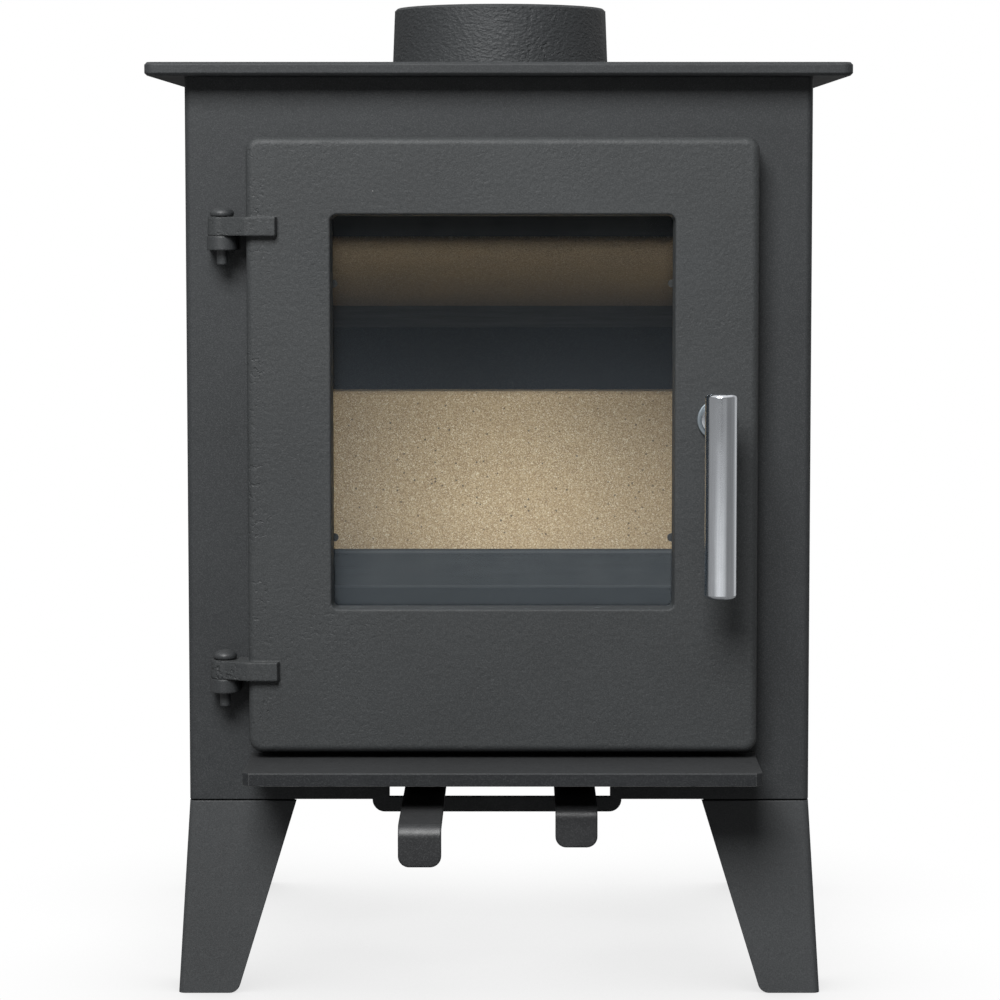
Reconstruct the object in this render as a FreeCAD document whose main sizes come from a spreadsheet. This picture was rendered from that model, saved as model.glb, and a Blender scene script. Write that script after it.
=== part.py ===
import FreeCAD, Part
import math
import os
import re

import Sketcher

# A small free-standing multi-fuel stove: a steel body on four splayed legs, with a cast door.
# X runs to the right, Y from front to back, Z up. Expressions measure Y from the front face of
# the body and Z from the floor, and every piece is then moved so that the middle of the whole
# stove stands over the origin.

# The driving sizes in millimetres, each with what it is.
SIZES = {
    "wall": (4, "steel sheet of the body"),
    "bend_radius": (4, "outer radius of the body's two folds"),
    "side_margin": (36, "front of the body beside the door"),
    "head_margin": (36.3, "front of the body above the door"),
    "leg_height": (117.3, "floor to the top of a leg"),
    "leg_gap": (1, "shadow line between leg and body"),
    "leg_top_width": (65, "face of a leg at its top"),
    "leg_foot_width": (36, "face of a leg at the floor"),
    "leg_splay": (7, "outward lean of a leg over its height"),
    "rear_leg_cut": (4.5, "rear legs narrower than the front ones"),
    "leg_toe_radius": (7, "rounding of a foot's inner corners"),
    "leg_flange": (46, "side of the leg's bolting flange"),
    "leg_flange_corner": (18.4, "cut corner of the leg's flange"),
    "leg_bolt_inset": (27, "leg bolt from the body's two outer faces"),
    "bolt_size": (8, "bolts of the legs and the rear cover, diameter"),
    "bolt_head_across": (13, "bolt head across its flats"),
    "bolt_head_height": (5.3, "bolt head"),
    "bolt_tail": (4, "bolt past the bridge bar"),
    "bolt_clearance": (0.5, "leg flange round its bolt"),
    "base_thickness": (5, "base plate"),
    "skirt": (8, "body wall below the base plate"),
    "pad_side": (60, "side of a square leg pad"),
    "top_thickness": (8, "top plate"),
    "top_overhang_side": (22, "top plate past the sides"),
    "top_overhang_front": (20, "top plate past the front"),
    "top_overhang_rear": (12, "top plate past the back"),
    "top_corner_radius": (6, "corners of the top plate"),
    "top_edge": (1.5, "chamfered edges of the top plate"),
    "flue_bore": (127, "flue opening, for a 5 inch pipe"),
    "collar_from_front": (175, "flue axis behind the front face"),
    "collar_height": (41.4, "flue collar above the top plate"),
    "collar_top_wall": (5, "collar wall at its mouth"),
    "collar_draft": (1.5, "extra wall at the foot of the collar"),
    "collar_flange": (18, "collar flange, width"),
    "collar_flange_thickness": (4, "collar flange, thickness"),
    "collar_edge": (1.5, "chamfered rim of the collar's mouth"),
    "collar_screw": (6, "collar screw, diameter"),
    "screw_clearance": (0.2, "collar flange round its screw"),
    "outlet_margin": (2.5, "rear cover below the body's upper edge"),
    "outlet_lap": (4, "rear cover past the rear opening"),
    "outlet_cover_thickness": (5, "rear cover"),
    "outlet_cover_edge": (1.5, "chamfered edge of the rear cover"),
    "bridge_width": (24, "bridge bar behind the rear cover"),
    "bridge_thickness": (5, "bridge bar"),
    "bridge_lap": (12, "bridge bar past the rear opening"),
    "shelf_overhang": (0.5, "ash lip past the sides of the door"),
    "shelf_depth": (70, "ash lip, front to back"),
    "shelf_thickness": (8, "ash lip"),
    "shelf_gap": (4.3, "ash lip below the door"),
    "shelf_edge_radius": (1, "upper edges of the ash lip"),
    "shelf_corner": (4, "cut front corners of the ash lip"),
    "tongue_border_left": (10.4, "tongue past the left end of the slot"),
    "tongue_border_right": (6.9, "tongue past the right end of the slot"),
    "tongue_drop": (7.7, "tongue below the body's lower edge"),
    "tongue_radius": (7.5, "corners of the tongue"),
    "slot_end_gap": (8.9, "lever slot past the outer edge of a lever"),
    "lever_left": (-45.3, "middle of the left lever"),
    "lever_right": (46.2, "middle of the right lever"),
    "lever_width": (25, "lever strip"),
    "lever_thickness": (3, "lever strip"),
    "lever_travel": (56, "travel of an air slide"),
    "lever_reach": (51, "lever in front of the body when pushed in"),
    "lever_drop": (24, "bent finger tab of a lever"),
    "lever_bend": (7, "outer radius of a lever's bend"),
    "lever_tip_radius": (6.5, "corners of a lever's tab"),
    "shutter_width": (52, "air shutter plate"),
    "shutter_length": (60, "air shutter plate"),
    "shutter_thickness": (3, "air shutter plate"),
    "inlet_width": (28, "air inlet in the base plate"),
    "inlet_length": (44, "air inlet in the base plate"),
    "inlet_radius": (6, "corners of an air inlet"),
    "guide_front": (34, "front of the slide guides behind the front face"),
    "guide_thickness": (3, "slide guides"),
    "guide_lap": (6, "guide flange under the shutter"),
    "stop_gap": (0.5, "air shutter short of its end stops"),
    "inlet_gap": (4, "open air shutter short of its inlet"),
    "strip_inset": (12, "end of a lever strip inside its shutter"),
    "door_centre": (2.4, "middle of the door and the ash lip"),
    "door_rise": (33.1, "bottom of the door above the body's lower edge"),
    "door_gap": (3, "back of the door casting to the front face"),
    "door_depth": (22, "door casting at its rim"),
    "door_face": (10, "face plate of the door casting"),
    "rope_border": (3, "door rim inside the rope groove"),
    "door_corner_radius": (8, "corners of the door"),
    "door_edge_radius": (4.5, "front edge of the door"),
    "opening_inset": (15.5, "door opening inside the door's outline"),
    "opening_radius": (12, "corners of the door opening"),
    "window_width": (202.8, "window, at its narrow back edge"),
    "window_height": (233.6, "window, at its narrow back edge"),
    "bottom_rail": (87.7, "door below the window"),
    "top_rail": (46.9, "door above the window"),
    "window_radius": (3, "corners of the window"),
    "window_draft": (1.2, "taper of the window's sides"),
    "window_edge": (0.6, "chamfered front edge of the window"),
    "glass_lap": (16, "glass behind the edge of the window"),
    "glass_thickness": (4, "door glass"),
    "glass_radius": (5, "corners of the glass"),
    "gasket_thickness": (2, "flat gasket under the glass"),
    "gasket_width": (13, "flat gasket under the glass"),
    "gasket_inset": (1, "flat gasket outside the window's edge"),
    "clip_thickness": (2, "glass clips"),
    "clip_tip_radius": (2.4, "rounded tip of a glass clip"),
    "clip_boss_radius": (6, "boss under a glass clip"),
    "clip_offset": (23, "clip screw outside the window's edge"),
    "clip_inset": (40.4, "clips from the top and bottom of the window"),
    "clip_screw": (5, "clip screw, diameter"),
    "clip_head": (8, "clip screw head, across its flats"),
    "clip_head_height": (2.6, "clip screw head"),
    "rope_inset": (3.5, "rope groove inside the door's outline"),
    "rope_width": (7.5, "rope seal and its groove"),
    "rope_corner_radius": (14, "outer corners of the rope seal"),
    "groove_depth": (6, "rope groove"),
    "rope_crown": (2, "sloping edges of the rope seal's face"),
    "hinge_out": (14.9, "hinge axis outside the door's edge"),
    "hinge_forward": (14, "hinge axis in front of the front face"),
    "hinge_inset_top": (52.9, "upper hinge arm below the top of the door"),
    "hinge_inset_bottom": (49.5, "lower hinge arm above the bottom of the door"),
    "knuckle_radius": (8.5, "eye of a hinge arm"),
    "arm_height": (11, "hinge arm"),
    "arm_proud": (5, "hinge arm in front of the door's face"),
    "arm_reach": (19.1, "hinge arm along the door's face"),
    "arm_taper": (1.5, "sloping end of a hinge arm"),
    "arm_root": (6, "root of a hinge arm behind the door's face"),
    "cast_lap": (1, "an added form let into the piece that it is part of"),
    "lug_radius": (9, "nose of a hinge lug"),
    "lug_height": (8.3, "hinge lug"),
    "pin_diameter": (6.5, "hinge pin"),
    "pin_head": (14.4, "hinge pin head, diameter"),
    "pin_head_height": (5.6, "hinge pin head"),
    "pin_rim": (1.5, "straight rim of a hinge pin head"),
    "pin_chamfer": (0.8, "lower end of a hinge pin"),
    "pin_tail": (9, "hinge pin below its lug"),
    "boss_gap": (0.8, "spindle boss from the door's rim"),
    "handle_rise": (200.4, "handle stem above the bottom of the door"),
    "bar_diameter": (19, "handle bar"),
    "bar_length": (120.5, "handle bar"),
    "bar_above": (18, "handle bar above its stem"),
    "bar_chamfer": (2, "ends of the handle bar"),
    "bar_standoff": (38, "handle bar in front of the door's face"),
    "stem_diameter": (13, "handle stem"),
    "washer_diameter": (24, "washer under the stem"),
    "washer_thickness": (2, "washer under the stem"),
    "stem_ring": (19, "ring on the stem that bears on the washer, diameter"),
    "stem_ring_thickness": (2, "ring on the stem"),
    "washer_edge": (0.5, "chamfered edge of the washer"),
    "spindle_diameter": (12, "spindle through the door"),
    "spindle_boss": (20, "boss round the spindle, diameter"),
    "square_side": (8, "square end of the spindle"),
    "cam_thickness": (6, "latch cam"),
    "cam_length": (30, "latch cam, axis to tip"),
    "cam_width": (14, "latch cam at its hub"),
    "cam_tip_width": (12, "latch cam at its tip"),
    "cam_tip_radius": (3, "corners of the cam's tip"),
    "latch_thread": (8, "threaded end of the spindle"),
    "latch_nut_across": (13, "latch nut across its flats"),
    "latch_nut_height": (6.5, "latch nut"),
    "thread_tail": (1.5, "thread past the latch nut"),
    "catch_gap": (1, "catch plate outside the door opening"),
    "catch_thickness": (4, "catch plate"),
    "catch_width": (26, "catch plate"),
    "catch_height": (36, "catch plate"),
    "catch_lead": (2.5, "sloping edges of the catch plate"),
    "brick_thickness": (25, "fire bricks"),
    "brick_chamfer": (2.5, "upper front edge of the rear brick"),
    "rear_brick_gap": (55.5, "rear fire brick below the baffle"),
    "bed_thickness": (6, "grate frame"),
    "grate_side": (3, "grate past the side of the ash pan"),
    "grate_length": (205, "grate"),
    "grate_front": (50, "front of the grate behind the front face"),
    "grate_rear_gap": (16, "grate to the rear fire brick"),
    "belly_gap": (3, "ash pan below the grate bars"),
    "grate_thickness": (10, "rim of the grate"),
    "grate_rim": (10, "rim of the grate, width"),
    "grate_seat": (8, "grate on its frame"),
    "bar_width": (8, "grate bars"),
    "bar_pitch": (19.2, "spacing of the grate bars, as near as they fit"),
    "belly_length": (51, "deep middle of a grate bar"),
    "grate_belly": (10, "grate bars below the rim at their middle"),
    "retainer_from_front": (31, "fuel retainer behind the front face"),
    "retainer_side_gap": (8.5, "fuel retainer to a side brick"),
    "retainer_low": (26, "upright lower face of the retainer"),
    "retainer_high": (48, "top of the retainer above the grate frame"),
    "retainer_lean": (8, "upper face of the retainer, leaning back"),
    "retainer_thickness": (4, "fuel retainer"),
    "retainer_return": (24, "end flanges of the retainer"),
    "baffle_thickness": (20, "baffle board"),
    "baffle_front": (70, "front of the baffle behind the front face"),
    "baffle_headroom": (150.5, "rear underside of the baffle below the top plate"),
    "baffle_fall": (53, "fall of the baffle from front to back"),
    "baffle_ledge": (12, "ledge under the rear of the baffle"),
    "pan_margin": (25, "ash pan inside the door opening"),
    "pan_rear_gap": (7, "ash pan short of the back of the grate"),
    "pan_height": (33, "ash pan"),
    "pan_front": (36, "ash pan behind the front face"),
    "pan_sill": (5.9, "ash pan above the door opening's lower edge"),
    "pan_sheet": (1.5, "ash pan"),
    "pan_corner_radius": (6, "corners of the ash pan"),
    "pan_slot_width": (45, "finger slot in the front of the ash pan"),
    "pan_slot_height": (11.6, "finger slot"),
    "pan_slot_drop": (6.6, "finger slot below the ash pan's rim"),
    "pan_slot_radius": (5, "corners of the finger slot"),
    "runner_lead": (6, "runner in front of the ash pan"),
    "runner_tail": (8, "runner behind the ash pan"),
    "runner_sheet": (2.5, "ash pan runners"),
    "runner_lap": (14, "runner under the ash pan"),
    "duct_sheet": (2, "air-wash duct"),
    "duct_height": (16, "air-wash duct on the base plate"),
    "duct_depth": (18, "air-wash riser and outlet, front to back"),
    "deflector_low": (59.5, "edge of the deflector below the top of the door"),
    "deflector_high": (16, "top bend of the deflector below the top plate"),
    "deflector_reach": (38, "air-wash channel, front to back"),
    "running_gap": (0.3, "gap between pieces that move past each other"),
}

# Sizes worked out from the driving ones.
PLACES = {
    "door_rim": "rope_inset + rope_width + rope_border",
    "stile": "door_rim + boss_gap + spindle_boss + running_gap + glass_lap",
    "door_width": "window_width + 2 * stile",
    "door_height": "bottom_rail + window_height + top_rail",
    "body_width": "door_width + 2 * side_margin",
    "body_height": "door_rise + door_height + head_margin",
    "grate_back": "grate_front + grate_length",
    "brick_back": "grate_back + grate_rear_gap",
    "inner_back": "brick_back + brick_thickness",
    "body_depth": "inner_back + wall",
    "body_bottom": "leg_height + leg_gap",
    "body_top": "body_bottom + body_height",
    "base_bottom": "body_bottom + skirt",
    "base_top": "base_bottom + base_thickness",
    "inner_side": "body_width / 2 - wall",
    "collar_mouth": "body_top + top_thickness + collar_height",
    "collar_foot": "flue_bore / 2 + collar_top_wall + collar_draft",
    "screw_place": "(collar_foot + collar_flange / 2) / sqrt(2)",
    "outlet_middle": "body_top - outlet_margin - outlet_lap - flue_bore / 2",
    "lever_top": "base_bottom - running_gap - shutter_thickness",
    "lever_bottom": "lever_top - lever_thickness",
    "shutter_out": "guide_front + guide_thickness + stop_gap",
    "shutter_in": "shutter_out + lever_travel",
    "inlet_front": "shutter_out + shutter_length + inlet_gap",
    "guide_back": "shutter_in + shutter_length + stop_gap",
    "slot_left": "lever_left - lever_width / 2 - slot_end_gap",
    "slot_right": "lever_right + lever_width / 2 + slot_end_gap",
    "door_left": "door_centre - door_width / 2",
    "door_right": "door_centre + door_width / 2",
    "door_bottom": "body_bottom + door_rise",
    "door_top": "door_bottom + door_height",
    "shelf_top": "door_bottom - shelf_gap",
    "door_back_y": "-door_gap",
    "door_front_y": "door_back_y - door_depth",
    "door_plate_y": "door_front_y + door_face",
    "window_left": "door_centre - window_width / 2",
    "window_right": "door_centre + window_width / 2",
    "window_bottom": "door_bottom + bottom_rail",
    "window_top": "window_bottom + window_height",
    "glass_front_y": "door_plate_y + gasket_thickness",
    "glass_back_y": "glass_front_y + glass_thickness",
    "opening_left": "door_left + opening_inset",
    "opening_right": "door_right - opening_inset",
    "opening_bottom": "door_bottom + opening_inset",
    "opening_top": "door_top - opening_inset",
    "hinge_x": "door_left - hinge_out",
    "hinge_y": "-hinge_forward",
    "arm_upper": "door_top - hinge_inset_top - arm_height / 2",
    "arm_lower": "door_bottom + hinge_inset_bottom - arm_height / 2",
    "handle_x": "door_right - door_rim - boss_gap - spindle_boss / 2",
    "handle_z": "door_bottom + handle_rise",
    "bar_y": "door_front_y - bar_standoff",
    "catch_y": "wall + catch_thickness",
    "cam_y": "catch_y + running_gap",
    "cam_back_y": "cam_y + cam_thickness",
    "pan_bottom": "opening_bottom + pan_sill",
    "pan_width": "door_width - 2 * opening_inset - 2 * pan_margin",
    "pan_length": "grate_back - pan_rear_gap - pan_front",
    "grate_width": "pan_width + 2 * grate_side",
    "bed_top": "pan_bottom + pan_height + belly_gap + grate_belly",
    "bed_bottom": "bed_top - bed_thickness",
    "brick_inner": "inner_side - brick_thickness",
    "retainer_width": "2 * (brick_inner - retainer_side_gap)",
    "baffle_rear_z": "body_top - baffle_headroom",
    "baffle_slope": "baffle_fall / (inner_back - baffle_front)",
    "duct_top": "base_top + duct_height",
    "duct_back": "guide_back",
    "duct_right": "lever_left + shutter_width / 2 + guide_thickness",
    "riser_right": "opening_left - running_gap",
    "deflector_y": "wall + duct_depth",
    "brick_front": "deflector_y + duct_sheet",
    "deflector_edge": "door_top - deflector_low",
    "deflector_bend": "body_top - deflector_high",
    "reach_front": "lever_reach + lever_travel",
    "reach_back": "body_depth + top_overhang_rear",
    "middle_y": "(reach_back - reach_front) / 2",
}

doc = FreeCAD.newDocument("Stove")
sheet = doc.addObject("Spreadsheet::Sheet", "Sizes")
pieces = []


def fill_sheet():
    row = 1
    for name, (value, meaning) in SIZES.items():
        sheet.set(f"A{row}", meaning)
        sheet.set(f"B{row}", str(value))
        sheet.setAlias(f"B{row}", name)
        row += 1
    for name, formula in PLACES.items():
        sheet.set(f"A{row}", name.replace("_", " "))
        sheet.set(f"B{row}", "=" + formula)
        sheet.setAlias(f"B{row}", name)
        row += 1
    doc.recompute()


ALIAS = re.compile(r"\b(" + "|".join([*SIZES, *PLACES]) + r")\b")


def bound(expression):
    """The expression with each alias pointing at the sheet."""
    return ALIAS.sub(r"Sizes.\1", str(expression))


def mm(expression):
    """The present value of an expression."""
    return float(sheet.evalExpression(bound(expression)))


# Loops for the sketches

def hold(sketch, index, point, across, up):
    """Ties one point of a sketch to two distances from the sketch's origin."""
    for kind, expression in (("DistanceX", across), ("DistanceY", up)):
        rule = Sketcher.Constraint(kind, -1, 1, index, point, mm(expression))
        number = sketch.addConstraint(rule)
        sketch.setExpression(f"Constraints[{number}]", bound(expression))


def vector(across, up):
    return FreeCAD.Vector(mm(across), mm(up), 0)


def polygon(*corners):
    """A closed outline through corners given as pairs of expressions."""
    def draw(sketch):
        first = sketch.GeometryCount
        count = len(corners)
        points = [vector(*corner) for corner in corners]
        lines = [Part.LineSegment(points[i], points[(i + 1) % count]) for i in range(count)]
        sketch.addGeometry(lines, False)
        for i, corner in enumerate(corners):
            following = first + (i + 1) % count
            sketch.addConstraint(Sketcher.Constraint("Coincident", first + i, 2, following, 1))
            hold(sketch, first + i, 1, *corner)
    return draw


def rectangle(across, up):
    """A rectangle between two pairs of expressions."""
    return polygon((across[0], up[0]), (across[1], up[0]), (across[1], up[1]), (across[0], up[1]))


def circle(across, up, radius):
    def draw(sketch):
        normal = FreeCAD.Vector(0, 0, 1)
        index = sketch.addGeometry(Part.Circle(vector(across, up), normal, mm(radius)), False)
        hold(sketch, index, 3, across, up)
        number = sketch.addConstraint(Sketcher.Constraint("Radius", index, mm(radius)))
        sketch.setExpression(f"Constraints[{number}]", bound(radius))
    return draw


def rounded(across, up, radius):
    """A rectangle with an arc at each corner."""
    left, right = across
    low, high = up
    inner_left, inner_right = f"({left}) + ({radius})", f"({right}) - ({radius})"
    inner_low, inner_high = f"({low}) + ({radius})", f"({high}) - ({radius})"
    sides = [
        ((inner_left, low), (inner_right, low)),
        ((right, inner_low), (right, inner_high)),
        ((inner_right, high), (inner_left, high)),
        ((left, inner_high), (left, inner_low)),
    ]
    middles = [(inner_right, inner_low), (inner_right, inner_high),
               (inner_left, inner_high), (inner_left, inner_low)]

    def draw(sketch):
        first = sketch.GeometryCount
        sketch.addGeometry([Part.LineSegment(vector(*a), vector(*b)) for a, b in sides], False)
        size = mm(radius)
        for i, middle in enumerate(middles):
            centre = vector(*middle)
            start = vector(*sides[i][1])
            end = vector(*sides[(i + 1) % 4][0])
            outward = (start - centre) + (end - centre)
            outward.Length = size
            sketch.addGeometry(Part.Arc(start, centre + outward, end), False)
        for i in range(4):
            arc = first + 4 + i
            following = first + (i + 1) % 4
            hold(sketch, first + i, 1, *sides[i][0])
            hold(sketch, first + i, 2, *sides[i][1])
            sketch.addConstraint(Sketcher.Constraint("Coincident", first + i, 2, arc, 1))
            sketch.addConstraint(Sketcher.Constraint("Coincident", arc, 2, following, 1))
            number = sketch.addConstraint(Sketcher.Constraint("Radius", arc, size))
            sketch.setExpression(f"Constraints[{number}]", bound(radius))
    return draw


# Bodies and their features

def piece(name):
    body = doc.addObject("PartDesign::Body", name)
    settle(body, name)
    return body


def settle(item, name):
    """Names a finished piece and moves it with the rest over the origin."""
    item.Label = name
    item.setExpression("Placement.Base.y", bound("-middle_y"))
    pieces.append(item)


def sketch_on(body, plane, loops, level="0", across="0", up="0"):
    """A sketch on one of the body's own planes, shifted along the plane and off it."""
    sketch = body.newObject("Sketcher::SketchObject", f"{body.Name}_outline")
    origin_plane = next(p for p in body.Origin.OriginFeatures if p.Role == f"{plane}_Plane")
    sketch.AttachmentSupport = [(origin_plane, "")]
    sketch.MapMode = "FlatFace"
    normal = "-1" if plane == "XZ" else "1"
    sketch.setExpression("AttachmentOffset.Base.x", bound(across))
    sketch.setExpression("AttachmentOffset.Base.y", bound(up))
    sketch.setExpression("AttachmentOffset.Base.z", bound(f"{normal} * ({level})"))
    for loop in loops:
        loop(sketch)
    return sketch


def pad(body, plane, span, *loops):
    """Material between two levels of the plane's own axis."""
    low, high = span
    sketch = sketch_on(body, plane, loops, high if plane == "XZ" else low)
    feature = body.newObject("PartDesign::Pad", f"{body.Name}_pad")
    feature.Profile = sketch
    feature.setExpression("Length", bound(f"({high}) - ({low})"))
    doc.recompute()
    return feature


def pocket(body, plane, span, *loops):
    """A cut between two levels of the plane's own axis. It has to take material away."""
    low, high = span
    before = body.Shape.Volume
    sketch = sketch_on(body, plane, loops, low if plane == "XZ" else high)
    feature = body.newObject("PartDesign::Pocket", f"{body.Name}_pocket")
    feature.Profile = sketch
    feature.setExpression("Length", bound(f"({high}) - ({low})"))
    doc.recompute()
    if feature.Shape.Volume > before - 0.01:
        raise RuntimeError(f"a pocket of {body.Name} cuts nothing")
    return feature


def turn(body, plane, loops, level="0", across="0", up="0"):
    """A full turn of the loops about the sketch's vertical axis."""
    sketch = sketch_on(body, plane, loops, level, across, up)
    feature = body.newObject("PartDesign::Revolution", f"{body.Name}_turned")
    feature.Profile = sketch
    feature.ReferenceAxis = (sketch, ["V_Axis"])
    feature.Angle = 360
    doc.recompute()
    return feature


def in_order(one, other):
    """Two expressions, the lower one first."""
    return (one, other) if mm(one) < mm(other) else (other, one)


def dress(body, kind, size, chosen):
    """A fillet or chamfer on every edge that the test picks."""
    base = body.Tip
    names = [f"Edge{i}" for i, edge in enumerate(base.Shape.Edges, 1) if chosen(edge)]
    if not names:
        raise RuntimeError(f"{body.Name} has no such edge for its {kind}")
    feature = body.newObject(f"PartDesign::{kind}", f"{body.Name}_{kind.lower()}")
    feature.Base = (base, names)
    feature.setExpression("Radius" if kind == "Fillet" else "Size", bound(size))
    doc.recompute()
    return feature


def lies(edge, **places):
    """Whether the whole edge keeps the given x, y or z, each an expression."""
    box = edge.BoundBox
    for axis, expression in places.items():
        value = mm(expression)
        low = getattr(box, axis.upper() + "Min")
        high = getattr(box, axis.upper() + "Max")
        if abs(low - value) > 0.01 or abs(high - value) > 0.01:
            return False
    return True


def at_any(edge, choices):
    return any(lies(edge, **places) for places in choices)


# Single solids for the groups of like pieces

def cylinder(name, axis, centre, radius, span):
    """A cylinder along Y or Z. centre holds the two expressions across the axis."""
    item = doc.addObject("Part::Cylinder", name)
    low, high = span
    item.setExpression("Radius", bound(radius))
    item.setExpression("Height", bound(f"({high}) - ({low})"))
    if axis == "Z":
        places = dict(zip("xyz", (*centre, low)))
    else:
        item.Placement.Rotation = FreeCAD.Rotation(FreeCAD.Vector(1, 0, 0), -90)
        places = dict(zip("xyz", (centre[0], low, centre[1])))
    for side, expression in places.items():
        item.setExpression(f"Placement.Base.{side}", bound(expression))
    return item


def hexagon(name, axis, centre, across_flats, span):
    """A six-sided prism along Y or Z."""
    item = doc.addObject("Part::Prism", name)
    low, high = span
    item.Polygon = 6
    item.setExpression("Circumradius", bound(f"({across_flats}) / sqrt(3)"))
    item.setExpression("Height", bound(f"({high}) - ({low})"))
    if axis == "Z":
        places = dict(zip("xyz", (*centre, low)))
    else:
        item.Placement.Rotation = FreeCAD.Rotation(FreeCAD.Vector(1, 0, 0), -90)
        places = dict(zip("xyz", (centre[0], low, centre[1])))
    for side, expression in places.items():
        item.setExpression(f"Placement.Base.{side}", bound(expression))
    return item


def fused(name, items):
    result = doc.addObject("Part::MultiFuse", name)
    result.Shapes = items
    return result


def group(name, items):
    """Like pieces in one node, as separate solids."""
    result = doc.addObject("Part::Compound", name)
    result.Links = items
    settle(result, name)
    return result


# Body

def body_wrap():
    body = piece("body_wrap")
    half = "body_width / 2"
    pad(body, "XY", ("body_bottom", "body_top"), polygon(
        (f"-{half}", "0"), (half, "0"), (half, "body_depth"), ("inner_side", "body_depth"),
        ("inner_side", "wall"), ("-inner_side", "wall"), ("-inner_side", "body_depth"),
        (f"-{half}", "body_depth")))
    dress(body, "Fillet", "bend_radius", lambda edge: at_any(
        edge, [dict(x=f"-{half}", y="0"), dict(x=half, y="0")]))
    left = "slot_left - tongue_border_left"
    right = "slot_right + tongue_border_right"
    low = "body_bottom - tongue_drop"
    pad(body, "XZ", ("0", "wall"), rectangle((left, right), (low, "body_bottom + cast_lap")))
    dress(body, "Fillet", "tongue_radius", lambda edge: at_any(
        edge, [dict(x=left, z=low), dict(x=right, z=low)]))
    pocket(body, "XZ", ("0", "wall"), rounded(
        ("opening_left", "opening_right"), ("opening_bottom", "opening_top"), "opening_radius"))
    pocket(body, "XZ", ("0", "wall"), rectangle(
        ("slot_left", "slot_right"), ("lever_bottom - running_gap", "base_bottom")))


def back_panel():
    body = piece("back_panel")
    pad(body, "XZ", ("inner_back", "body_depth"),
        rectangle(("-inner_side", "inner_side"), ("body_bottom", "body_top")),
        circle("0", "outlet_middle", "flue_bore / 2"))


def inlet(middle):
    return rounded((f"{middle} - inlet_width / 2", f"{middle} + inlet_width / 2"),
                   ("inlet_front", "inlet_front + inlet_length"), "inlet_radius")


def base_plate():
    body = piece("base_plate")
    pad(body, "XY", ("base_bottom", "base_top"),
        rectangle(("-inner_side", "inner_side"), ("wall", "inner_back")),
        inlet("lever_left"), inlet("lever_right"))


def corners():
    """The four corners of the stove: a name, the side of the middle and the end."""
    return [(f"{end}_{side}", sign, end) for end in ("front", "rear")
            for side, sign in (("left", "-1"), ("right", "1"))]


def from_corner(sign, end, inward_x, inward_y):
    """A place in plan, given as distances inward from a corner of the body."""
    across = f"{sign} * (body_width / 2 - ({inward_x}))"
    back = f"({inward_y})" if end == "front" else f"body_depth - ({inward_y})"
    return across, back


def leg_pads():
    body = piece("leg_pads")
    loops = []
    for _, sign, end in corners():
        low = from_corner(sign, end, "wall", "wall")
        high = from_corner(sign, end, "wall + pad_side", "wall + pad_side")
        loops.append(rectangle((low[0], high[0]), (low[1], high[1])))
        bolt = from_corner(sign, end, "leg_bolt_inset", "leg_bolt_inset")
        loops.append(circle(*bolt, "bolt_size / 2"))
    pad(body, "XY", ("leg_height", "base_bottom"), *loops)


def top_plate():
    body = piece("top_plate")
    high = "body_top + top_thickness"
    loops = [
        rounded(("-body_width / 2 - top_overhang_side", "body_width / 2 + top_overhang_side"),
                ("-top_overhang_front", "body_depth + top_overhang_rear"), "top_corner_radius"),
        circle("0", "collar_from_front", "flue_bore / 2")]
    for across, back in collar_screw_places():
        loops.append(circle(across, back, "collar_screw / 2"))
    pad(body, "XY", ("body_top", high), *loops)
    reach = mm("flue_bore / 2 + collar_flange")

    def outer(edge):
        level = lies(edge, z="body_top") or lies(edge, z=high)
        middle = FreeCAD.Vector(0, mm("collar_from_front"), edge.CenterOfMass.z)
        return level and edge.CenterOfMass.distanceToPoint(middle) > reach
    dress(body, "Chamfer", "top_edge", outer)


def collar_screw_places():
    """Four screws on the diagonals of the flange."""
    return [(f"{a} * screw_place", f"collar_from_front + {b} * screw_place")
            for a, b in (("-1", "-1"), ("1", "-1"), ("1", "1"), ("-1", "1"))]


def flue_collar():
    body = piece("flue_collar")
    low = "body_top + top_thickness"
    bore = "flue_bore / 2"
    mouth = f"{bore} + collar_top_wall"
    flange = "collar_foot + collar_flange"
    flange_top = f"{low} + collar_flange_thickness"
    turn(body, "XZ", [polygon(
        (bore, low), (flange, low), (flange, flange_top), ("collar_foot", flange_top),
        (mouth, "collar_mouth"), (bore, "collar_mouth"))], "collar_from_front")
    dress(body, "Chamfer", "collar_edge", lambda edge: lies(edge, z="collar_mouth"))
    holes = [circle(across, back, "collar_screw / 2 + screw_clearance")
             for across, back in collar_screw_places()]
    pocket(body, "XY", (low, flange_top), *holes)
    dress(body, "Chamfer", "collar_screw / 2", lambda edge: (
        lies(edge, z=flange_top) and edge.BoundBox.XLength < mm("flue_bore / 2")))


def collar_screws():
    screws = []
    top = "body_top + top_thickness + collar_flange_thickness"
    for number, (across, back) in enumerate(collar_screw_places()):
        head = doc.addObject("Part::Cone", f"collar_screw_head_{number}")
        head.setExpression("Radius1", bound("collar_screw / 2"))
        head.setExpression("Radius2", bound("collar_screw"))
        head.setExpression("Height", bound("collar_screw / 2"))
        for side, expression in zip("xyz", (across, back, f"{top} - collar_screw / 2")):
            head.setExpression(f"Placement.Base.{side}", bound(expression))
        shank = cylinder(f"collar_screw_shank_{number}", "Z", (across, back),
                         "collar_screw / 2", ("body_top", f"{top} - collar_screw / 2"))
        screws.append(fused(f"collar_screw_{number}", [head, shank]))
    group("collar_screws", screws)


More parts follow.
